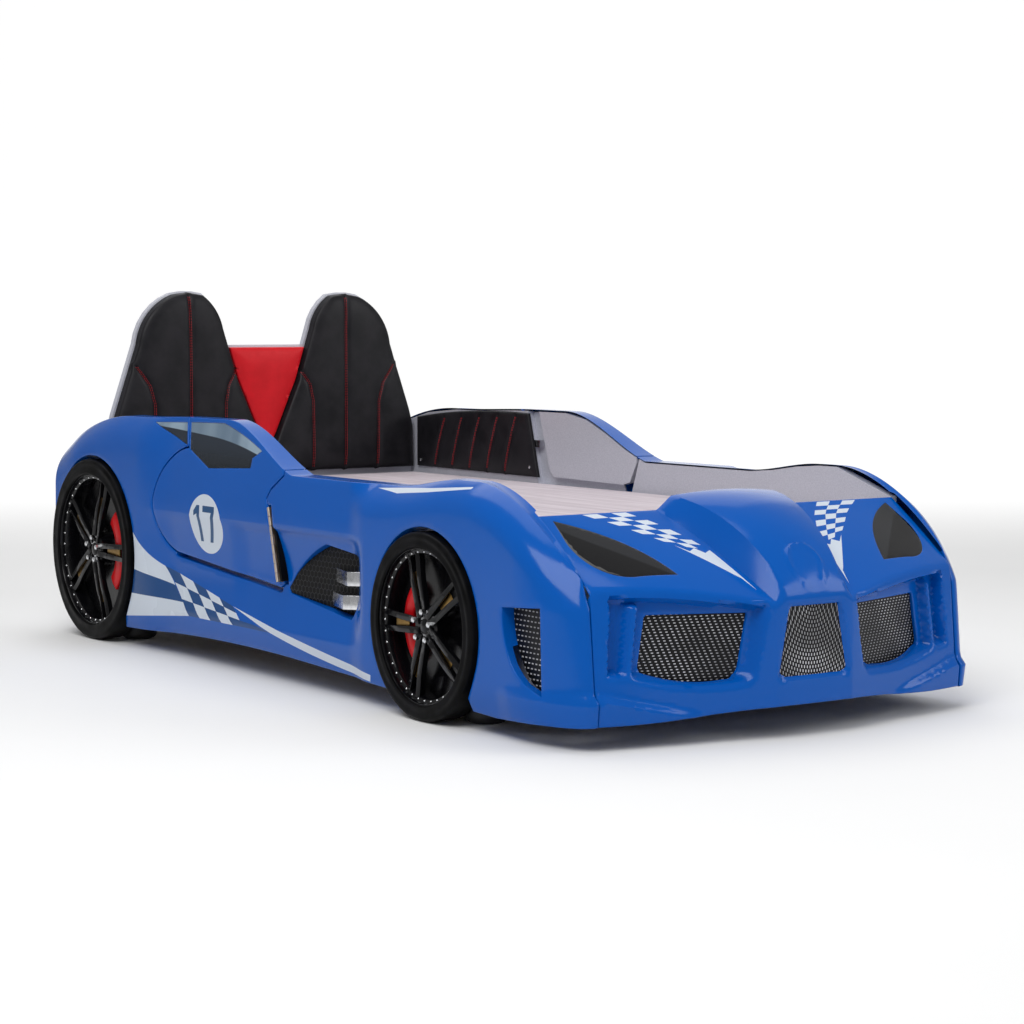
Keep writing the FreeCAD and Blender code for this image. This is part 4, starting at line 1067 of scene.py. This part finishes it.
def door_mesh(turned_round):
    """The door's skin and the slot of each of its triangles."""
    digits = [loop * [-1.0, 1.0] + [2.0 * DIGITS_Y, 0.0] for loop in DIGITS] if turned_round else DIGITS
    line = [p for p in TOP_LINE - [0.0, ROLL] if -20.0 < p[0] < 510.0]
    flat, tris = region(grown(DOOR_OUTLINE, -ROLL), [grown(DOOR_WINDOW, ROLL)], 8.0,
                        [*creases, line, closed(ROUNDEL)] + [closed(d) for d in digits],
                        keep=lambda p: p[:, 1] < top_height(p[:, 0]) - ROLL)
    return panel(flat, tris, side_point, -1.0, ROLL, end=side_end), printed(flat, tris, [ROUNDEL], digits)


for side in ("right", "left"):
    mesh, slots = door_mesh(side == "left")
    piece(side + "_door_shell", mesh, [BLUE, WHITE_PRINT, INK], side + "_door", [side + "_door_shell"], 50.0,
          side == "left", slots)


# ---------------------------------------------------------------- windows
# Silvered panes of thin sheet, stuck into the doors and the side shells just under their surface. Above a curved line
# they carry a painted reflection of a bright, streaked sky, and below it they are slate-coloured and darker towards the
# bottom.
def window_glass():
    """A painted sky reflection over a dark tint, meeting on a bow: a straight line less a share of the distance ahead
    of it, squared.
    """
    m = Shader("window_tint", (0.1, 0.12, 0.15), 0.06, spec=0.2)
    x, y, z = m.xyz()
    front = m.math("MAXIMUM", (y - 0.36) * -1.0, 0.0)
    bow = (y - 0.36) * 0.06 + 0.538 + front * front * -0.33
    # above the bow the pane is painted with a streaked reflection of the sky; below it the tint is darker towards the
    # bottom
    above = m.ramp(z - bow, -0.001, 0.001)
    sky_reflection_streaks = m.noise(9.0, 2.0, stretch=(0.0, 1.0, 0.1))
    sky = m.mix(m.ramp(sky_reflection_streaks, 0.35, 0.65), (0.13, 0.19, 0.26), (0.27, 0.36, 0.44))
    low = m.mix(m.ramp(z, 0.46, 0.53), (0.010, 0.014, 0.019), (0.018, 0.026, 0.040))
    m.color(m.mix(above, low, sky))
    m.rough(m.ramp(m.noise(30.0, 3.0), 0.3, 0.7, 0.04, 0.1))
    m.bump(m.noise(12.0), 0.04, 0.002)
    return m.material


GLASS = window_glass()
sunk = lambda p: side_point(p) + [1.3, 0.0, 0.0]
for name, loop, body in (("door_window", DOOR_WINDOW, "door"), ("quarter_window", QUARTER_WINDOW, "bed")):
    flat, tris = region(grown(loop, -1.2), step=9.0)
    both(name, panel(flat, tris, sunk, -1.0, 0.8, 1.8, back=True), GLASS, body, stands_for=[name])


# ---------------------------------------------------------------- wheels
# Display wheels, screwed to the boards: a moulded tyre ring round a deep gloss-black rim. Each of five spokes splits
# into two bars, and a red caliper and gold-brown plates show between them.
RIM_BLACK = glossy("rim_black", (0.003, 0.003, 0.004), 0.14, spec=0.25)
RED = glossy("caliper_red", (0.55, 0.004, 0.008), 0.25)
GOLD = chrome_metal("gold_plate", (0.28, 0.17, 0.05), 0.3)
SPOKES, RIVETS = 5, 40
NUT_RING = 30.0               # radius of the ring of wheel nuts


def lathe(profile, centre, n, side=-1.0):
    """Turns (radius, |x|) points about an axle along X through centre (y, z)."""
    return grid(turned(profile, n)[:, :, [2, 0, 1]] * [side, 1.0, 1.0] + [0.0, *centre], True, True)


def wheel(end, hub, first_deg, facing):
    """Every piece of one wheel and its mirror. A spoke's own coordinates run outwards along it and across it. The
    caliper is a ring sector behind the spokes, towards the front where `facing` is -1."""
    radius = hub[1]
    rim = 0.83 * radius
    tyre = [(rim + BASE, 486.0), (radius - 4.0, 486.0), (radius, 490.0)]
    tyre += arc_points((radius - 10.0, 537.0), 10.0, 0.0, 80.0)
    tyre += [(radius - 14.0, 546.6), (rim + 12.0, 545.2), (rim + 8.0, 546.9), (rim + 3.0, 546.4), (rim + BASE, 543.5)]
    both(end + "_tyre", outward(lathe(tyre, hub, 128)), RUBBER, stands_for=[end + "_tyre"])

    barrel = [(0.1, 479.2), (rim, 479.2), (rim, 539.5), (rim - 1.0, 541.0), (rim - 2.5, 541.0), (rim - 3.5, 538.5),
              (rim - 4.5, 532.0), (rim - 11.0, 530.0), (rim - 12.5, 527.0), (rim - 15.0, 495.0), (42.0, 494.0),
              (0.1, 494.0)]
    hub_cap = [(0.1, 494.0), (42.0, 494.0), (40.0, 526.0), (36.0, 530.0), (16.0, 530.5), (14.0, 533.0), (10.0, 535.0),
               (0.1, 535.5)]
    parts = [outward(lathe(barrel, hub, 128)), outward(lathe(hub_cap, hub, 64))]
    plates = []
    reach = rim - 3.0
    plate = polyline(corners((66.0, -5.0), (66.0, 5.0), (0.72 * rim, 9.0), (0.72 * rim, -9.0)))
    for i in range(SPOKES):
        a = math.radians(first_deg + 360.0 / SPOKES * i)
        axes = np.array([[math.cos(a), math.sin(a)], [-math.sin(a), math.cos(a)]])

        def bar_point(p, axes=axes):
            crown = 536.0 - 4.0 * smooth((p[:, 0] - 90.0) / 60.0) - 2.5 * np.abs(np.abs(p[:, 1]) - 13.0) / 8.0
            return np.column_stack([-crown, np.array(hub) + p @ axes])

        def plate_point(p, axes=axes):
            return np.column_stack([np.full(len(p), -526.0), np.array(hub) + p @ axes])

        for s in (-1.0, 1.0):
            bar = corners((20.0, s * 2.0), (20.0, s * 18.0), (reach, s * 24.0), (reach, s * 11.0), (62.0, s * 4.0))
            flat, tris = region(grown(polyline(bar, 9.0), -2.0), step=10.0)
            parts.append(panel(flat, tris, bar_point, -1.0, 2.0, 16.0))
        flat, tris = region(plate, step=8.0)
        plates.append(panel(flat, tris, plate_point, -1.0, 0.3, 2.0, back=True))
    both(end + "_rim", joined(*parts), RIM_BLACK, stands_for=[end + "_rim"], sharp=35.0)
    both(end + "_spoke_plates", joined(*plates), GOLD)

    rivets = []
    dome = [(0.05, 533.4), (1.5, 533.0), (2.3, 532.0), (2.6, 530.8), (0.05, 530.8)]
    for y, z in ellipse(hub, rim - 7.8, rim - 7.8, RIVETS):
        rivets.append(outward(lathe(dome, (y, z), 8)))
    both(end + "_rivets", joined(*rivets), CHROME)

    inner, outer = 0.45 * rim, 0.68 * rim
    middle = 0.5 * (inner + outer)
    ends = [math.radians(t) for t in (-50.0, 0.0, 50.0)]
    far = [(hub[0] + facing * outer * math.cos(t), hub[1] + outer * math.sin(t)) for t in ends]
    near = [(hub[0] + facing * inner * math.cos(t), hub[1] + inner * math.sin(t)) for t in ends[::-1]]
    flat, tris = region(grown(polyline([far, near]), -4.0), step=9.0)

    def caliper_point(p):
        r = np.hypot(p[:, 0] - hub[0], p[:, 1] - hub[1])
        return np.stack([-515.8 + 3.0 * ((r - middle) / (outer - middle)) ** 2, p[:, 0], p[:, 1]], 1)

    both(end + "_caliper", panel(flat, tris, caliper_point, -1.0, 4.0, 18.0), RED, stands_for=[end + "_caliper"])


wheel("rear", REAR_WHEEL, 36.0, -1.0)
wheel("front", FRONT_WHEEL, 0.0, 1.0)

HEXAGON = [(0.05, 544.0), (4.0, 543.8), (6.6, 542.0), (6.8, 530.0), (0.05, 530.0)]
nuts = []
for hub in (REAR_WHEEL, FRONT_WHEEL):
    for i in range(SPOKES):
        a = 2.0 * math.pi * i / SPOKES + 0.4
        at = (hub[0] + NUT_RING * math.cos(a), hub[1] + NUT_RING * math.sin(a))
        nuts.append(outward(lathe(HEXAGON, at, 6)))
right_nuts = joined(*nuts)
left_nuts = (right_nuts[0] * [-1.0, 1.0, 1.0], [part[:, ::-1] for part in right_nuts[1]])
piece("wheel_nuts", joined(right_nuts, left_nuts), CHROME, stands_for=["wheel_nuts"], sharp=25.0)


# ---------------------------------------------------------------- seat pads
# Two seat-shaped pads of black leather over foam are screwed to the headboard. Each has a centre seam and two bolster
# seams, double-stitched with red thread.
HEAD_Y = 1019.0               # front face of the headboard
PAD_GAP = 0.4                 # between a pad and its board
SEAM_HALF = 2.6               # from a seam to each of its rows of stitches


def tube(path, radius, n):
    """Round bar along a path, closed at both ends: rings of n points, kept square to the path."""
    ahead = np.roll(path, -1, 0) - np.roll(path, 1, 0)
    ahead[0] = path[1] - path[0]
    ahead[-1] = path[-1] - path[-2]
    ahead /= np.linalg.norm(ahead, axis=1)[:, None]
    up = np.array([0.31, 0.42, 0.85])
    side = np.cross(ahead, up)
    side /= np.linalg.norm(side, axis=1)[:, None]
    top = np.cross(side, ahead)
    a = np.arange(n) * 2.0 * math.pi / n
    ring = side[:, None] * np.cos(a)[None, :, None] + top[:, None] * np.sin(a)[None, :, None]
    verts, faces = grid(path[:, None] + radius * ring, False, True)
    last = len(path) * n
    return verts, faces + [np.arange(n)[None, :], np.arange(last - n, last)[None, ::-1]]


def hide(name, base, deep):
    """Embossed leather: small pebbles over long soft creases."""
    m = Shader(name, base, 0.38, spec=0.2)
    pebble = m.node("TexVoronoi", Vector=m.place(), Scale=520.0)
    crease_noise = m.noise(14.0, 5.0, 0.6)
    m.color(m.mix(m.ramp(crease_noise, 0.3, 0.7), base, deep))
    m.rough(m.ramp(crease_noise, 0.3, 0.7, 0.32, 0.48))
    m.bump(pebble * 0.35 + crease_noise, 0.35, 0.0012)
    return m.material


def thread():
    """Red yarn with a fine twist."""
    m = Shader("red_thread", (0.42, 0.012, 0.02), 0.6)
    m.color(m.mix(m.noise(600.0), (0.34, 0.008, 0.015), (0.5, 0.02, 0.03)))
    m.bump(m.noise(1500.0), 0.3, 0.0003)
    return m.material


def stitches(surface, line, pitch=7.0, length=4.6, lift=0.5):
    """A row of short thread bars along a line drawn in the surface's own plane."""
    step = np.concatenate([[0.0], np.cumsum(np.linalg.norm(np.diff(line, axis=0), axis=1))])
    starts = np.arange(2.0, step[-1] - length, pitch)
    made = []
    for start in starts:
        s = start + length * np.array([0.0, 0.2, 0.5, 0.8, 1.0])
        p = np.stack([np.interp(s, step, line[:, k]) for k in (0, 1)], 1)
        at = surface(p) + face_out(surface, p, 1.0) * (lift * np.array([-0.6, 0.5, 0.7, 0.5, -0.6]))[:, None]
        made.append(outward(tube(at, 0.7, 5)))
    return joined(*made)


def puffed(outline, seams, thick, base, groove=6.0):
    """Height of a pad over its board: thick less base times exp(-d / 20) at the distance d from its edge, and less a
    groove along every seam, steep within 5 mm and faint within 22 mm of it."""
    lines = [divided(a, b, 4.0) for line in seams for a, b in zip(line[:-1], line[1:])]

    def height(p):
        made = thick - base * np.exp(-away(p, outline) / 20.0)
        if lines:
            seam = away(p, np.concatenate(lines))
            made -= groove * np.exp(-(seam / 5.0) ** 2) + 2.0 * np.exp(-seam / 22.0)
        return made
    return height


BLACK_HIDE = hide("black_leather", (0.008, 0.008, 0.010), (0.016, 0.015, 0.018))
THREAD = thread()
SEAT = polyline([[(-455.0, 404.0), (-453.0, 520.0)], [(-441.0, 566.0), (-380.0, 746.0)],
                 [(-380.0, 746.0), (-339.0, 834.0), (-278.0, 875.0)],
                 [(-278.0, 875.0), (-235.0, 880.0), (-192.0, 875.0)],
                 [(-192.0, 875.0), (-158.0, 842.0), (-134.0, 788.0)], [(-91.0, 651.0), (-32.0, 515.0)],
                 [(-6.0, 450.0), (-6.0, 404.0)]])
SEAT_SEAMS = [np.array([(-236.0, 872.0), (-234.0, 780.0), (-234.0, 412.0)], float),
              np.array([(-388.0, 690.0), (-352.0, 640.0), (-338.0, 590.0), (-336.0, 412.0)], float),
              np.array([(-100.0, 672.0), (-122.0, 640.0), (-132.0, 590.0), (-134.0, 412.0)], float)]
seat_height = puffed(SEAT, SEAT_SEAMS, 33.6, 12.0)
seat_face = lambda p: np.stack([p[:, 0], HEAD_Y - seat_height(p), p[:, 1]], 1)
seat_end = lambda p: np.stack([p[:, 0], np.full(len(p), HEAD_Y - PAD_GAP), p[:, 1]], 1)
flat, tris = region(grown(SEAT, -6.0), step=7.0, lines=SEAT_SEAMS)
seat = panel(flat, tris, seat_face, 1.0, 6.0, end=seat_end, back=True)
for pad in both("seat_pad", seat, BLACK_HIDE, stands_for=["seat_pad"]):
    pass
rows = [stitches(seat_face, line + [s * SEAM_HALF, 0.0]) for line in SEAT_SEAMS for s in (-1.0, 1.0)]
both("seat_stitching", joined(*rows), THREAD)


# ---------------------------------------------------------------- red wedge
# A wedge of red leather over foam fills the gap between the seat pads. It is screwed to the headboard like them, and
# has no seams.
RED_HIDE = hide("red_leather", (0.66, 0.010, 0.018), (0.56, 0.007, 0.013))
WEDGE = polyline(corners((-114.0, 737.5), (-87.0, 651.0), (-28.0, 515.0), (-4.0, 463.0), (4.0, 463.0), (28.0, 515.0),
                         (87.0, 651.0), (114.0, 737.5)))
wedge_height = puffed(WEDGE, [], 19.6, 7.0)
wedge_face = lambda p: np.stack([p[:, 0], HEAD_Y - wedge_height(p), p[:, 1]], 1)
flat, tris = region(grown(WEDGE, -4.0), step=8.0)
wedge = panel(flat, tris, wedge_face, 1.0, 4.0, end=seat_end, back=True)
piece("centre_pad", wedge, RED_HIDE, stands_for=["centre_pad"])


# ---------------------------------------------------------------- side pads
# Low pads of the same black leather line the side boards behind the doors. They are quilted along slanted seams, and
# each is held by two plated screws.
SIDE_PAD = polyline([[(396.5, 404.5), (441.0, 568.5)], [(441.0, 568.5), (715.0, 567.5), (980.5, 544.5)],
                     [(980.5, 408.0)]])
PAD_SEAMS = [np.array([(y, 560.0 - 0.04 * (y - 480.0)), (y + 52.0, 412.0)], float)
             for y in (500.0, 585.0, 670.0, 755.0, 840.0)]
pad_height = puffed(SIDE_PAD, PAD_SEAMS, 13.4, 6.0, 4.0)
pad_face = lambda p: np.stack([-BOARD_IN_X + pad_height(p), p[:, 0], p[:, 1]], 1)
pad_end = lambda p: np.stack([np.full(len(p), PAD_GAP - BOARD_IN_X), p[:, 0], p[:, 1]], 1)
flat, tris = region(grown(SIDE_PAD, -4.0), step=8.0, lines=PAD_SEAMS)
quilt = panel(flat, tris, pad_face, 1.0, 4.0, end=pad_end, back=True)
for pad in both("side_pad", quilt, BLACK_HIDE, stands_for=["side_pad"]):
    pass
rows = [stitches(pad_face, line + [s * 2.4, 0.0]) for line in PAD_SEAMS for s in (-1.0, 1.0)]
both("pad_stitching", joined(*rows), THREAD)
SCREW_HEAD = [(0.05, -446.5), (2.6, -446.8), (4.0, -448.0), (4.2, -452.0), (0.05, -452.0)]
screws = [outward(lathe(SCREW_HEAD, at, 20, side=1.0)) for at in ((428.0, 430.0), (955.0, 425.0))]
both("pad_screws", joined(*screws), CHROME)


# ---------------------------------------------------------------- mattress
# A foam single in a pale woven cover with rounded edges. It lies loose on the slats between the side boards.
MATTRESS_TOP, MATTRESS_FOOT, MATTRESS_ROUND = 395.6, 246.9, 14.0


def woven():
    """Fine cross-woven threads with faint streaks along the bed."""
    m = Shader("mattress_cover", (0.56, 0.50, 0.54), 0.8, spec=0.2)
    x, y, z = m.xyz()
    weave = m.math("SINE", x * 3600.0) * m.math("SINE", y * 3600.0)
    streak = m.noise(60.0, 4.0, 0.6, stretch=(1.0, 0.05, 1.0))
    m.color(m.mix(m.ramp(streak, 0.35, 0.65), (0.60, 0.54, 0.58), (0.50, 0.44, 0.48)))
    m.rough(m.ramp(streak, 0.3, 0.7, 0.7, 0.9))
    m.bump(weave * 0.4 + m.noise(9.0, 4.0) * 2.0, 0.35, 0.001)
    return m.material


MATTRESS = polyline([[(-415.0, -902.0), (415.0, -902.0)], [(415.0, -902.0), (439.7, -891.7), (450.0, -867.0)],
                     [(450.0, 944.0), (439.7, 968.7), (415.0, 979.0)],
                     [(-415.0, 979.0), (-439.7, 968.7), (-450.0, 944.0)],
                     [(-450.0, -867.0), (-439.7, -891.7), (-415.0, -902.0)]], 14.0)


def mattress_top(p):
    """Flat top that falls away towards its edge, with a slight hollow where the sleeper lies."""
    edge = away(p, MATTRESS)
    lain = 2.0 * np.exp(-(p[:, 0] / 260.0) ** 2 - ((p[:, 1] - 60.0) / 700.0) ** 2)
    return np.stack([p[:, 0], p[:, 1], MATTRESS_TOP - 6.0 * np.exp(-edge / 26.0) - lain], 1)


def mattress_end(p):
    """The flat underside."""
    return np.stack([p[:, 0], p[:, 1], np.full(len(p), MATTRESS_FOOT)], 1)


flat, tris = region(grown(MATTRESS, -MATTRESS_ROUND), step=22.0)
foam = panel(flat, tris, mattress_top, 1.0, MATTRESS_ROUND, end=mattress_end, steps=5, back=True)
piece("mattress", foam, woven(), stands_for=["mattress"], sharp=70.0)


# ---------------------------------------------------------------- studio
# A roll of white paper behind and under the bed, three area lights and the camera. The paper runs along the camera's
# heading, level to 8 m behind the bed and then up in a quarter circle.
def paper(ahead):
    """White paper that glows softly where it climbs behind the bed, as a lit studio wall does."""
    m = Shader("backdrop_paper", (0.86, 0.86, 0.86), 0.9, spec=0.1)
    x, y, z = m.xyz()
    far = x * ahead[0] + y * ahead[1]
    aside = m.math("ABSOLUTE", x * ahead[1] - y * ahead[0])
    glow = m.ramp(far, 1.5, 6.0, 0.0, 0.92) * m.ramp(aside, 3.9, 5.4, 1.0, 0.0)
    m.color(m.mix(glow, m.mix(m.noise(1.5, 4.0), (0.85, 0.85, 0.85), (0.88, 0.88, 0.88)), (0.1, 0.1, 0.1)))
    m.plug(m.surface.inputs["Emission Color"], m.mix(glow, (0.0, 0.0, 0.0), (1.0, 1.0, 1.0)))
    m.surface.inputs["Emission Strength"].default_value = 1.0
    m.bump(m.noise(90.0), 0.02, 0.001)
    return m.material


CAMERA_YAW, CAMERA_PITCH = math.radians(34.4175), math.radians(4.44416)
heading = np.array([math.sin(CAMERA_YAW), math.cos(CAMERA_YAW)])
bend = np.linspace(0.0, 0.5 * math.pi, 24)
run = np.concatenate([np.linspace(-14.0, 7.5, 20), 8.0 + 4.0 * np.sin(bend), [12.0]]) * 1000.0
rise = np.concatenate([np.zeros(20), 4.0 - 4.0 * np.cos(bend), [16.0]]) * 1000.0 - 0.5
across = np.linspace(-22000.0, 22000.0, 12)
sheet = np.stack([run[:, None] * heading[0] + across * heading[1], run[:, None] * heading[1] - across * heading[0],
                  np.repeat(rise[:, None], 12, 1)], -1)
piece("studio_backdrop", (sheet.reshape(-1, 3), [grid(sheet)[1][0][:, ::-1]]), paper(heading))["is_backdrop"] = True

world = bpy.data.worlds.new("studio")
bpy.context.scene.world = world
world.use_nodes = True
sky = world.node_tree.nodes["Background"].inputs
sky["Color"].default_value = (1.0, 1.0, 1.0, 1.0)
sky["Strength"].default_value = 0.34

for name, place, size, power in (("key", (-3.2, -2.6, 4.2), (3.5, 2.5), 160.0),
                                 ("fill", (3.4, -4.0, 2.6), (3.0, 2.2), 70.0),
                                 ("top", (0.0, 1.0, 4.5), (3.0, 5.0), 90.0)):
    data = bpy.data.lights.new(name, "AREA")
    data.shape = "RECTANGLE"
    data.size, data.size_y = size
    data.energy = power
    lamp = bpy.data.objects.new(name, data)
    lamp.location = place
    lamp.rotation_euler = (Vector((0.0, 0.0, 0.4)) - Vector(place)).to_track_quat("-Z", "Y").to_euler()
    bpy.context.scene.collection.objects.link(lamp)

# The camera stands where the photograph's was, found from the wheels, the seams and the floor contacts.
FOCAL_PIXELS, PICTURE_PIXELS = 2432.4, 1024.0
data = bpy.data.cameras.new("camera")
data.sensor_width = 36.0
data.lens = FOCAL_PIXELS / PICTURE_PIXELS * data.sensor_width
data.clip_end = 200.0
camera = bpy.data.objects.new("camera", data)
camera.location = (-3.1365, -4.7255, 0.8017)
camera.rotation_euler = (0.5 * math.pi - CAMERA_PITCH, 0.0, -CAMERA_YAW)
bpy.context.scene.collection.objects.link(camera)
bpy.context.scene.camera = camera
bpy.context.scene.view_settings.view_transform = "Standard"

low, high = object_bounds()
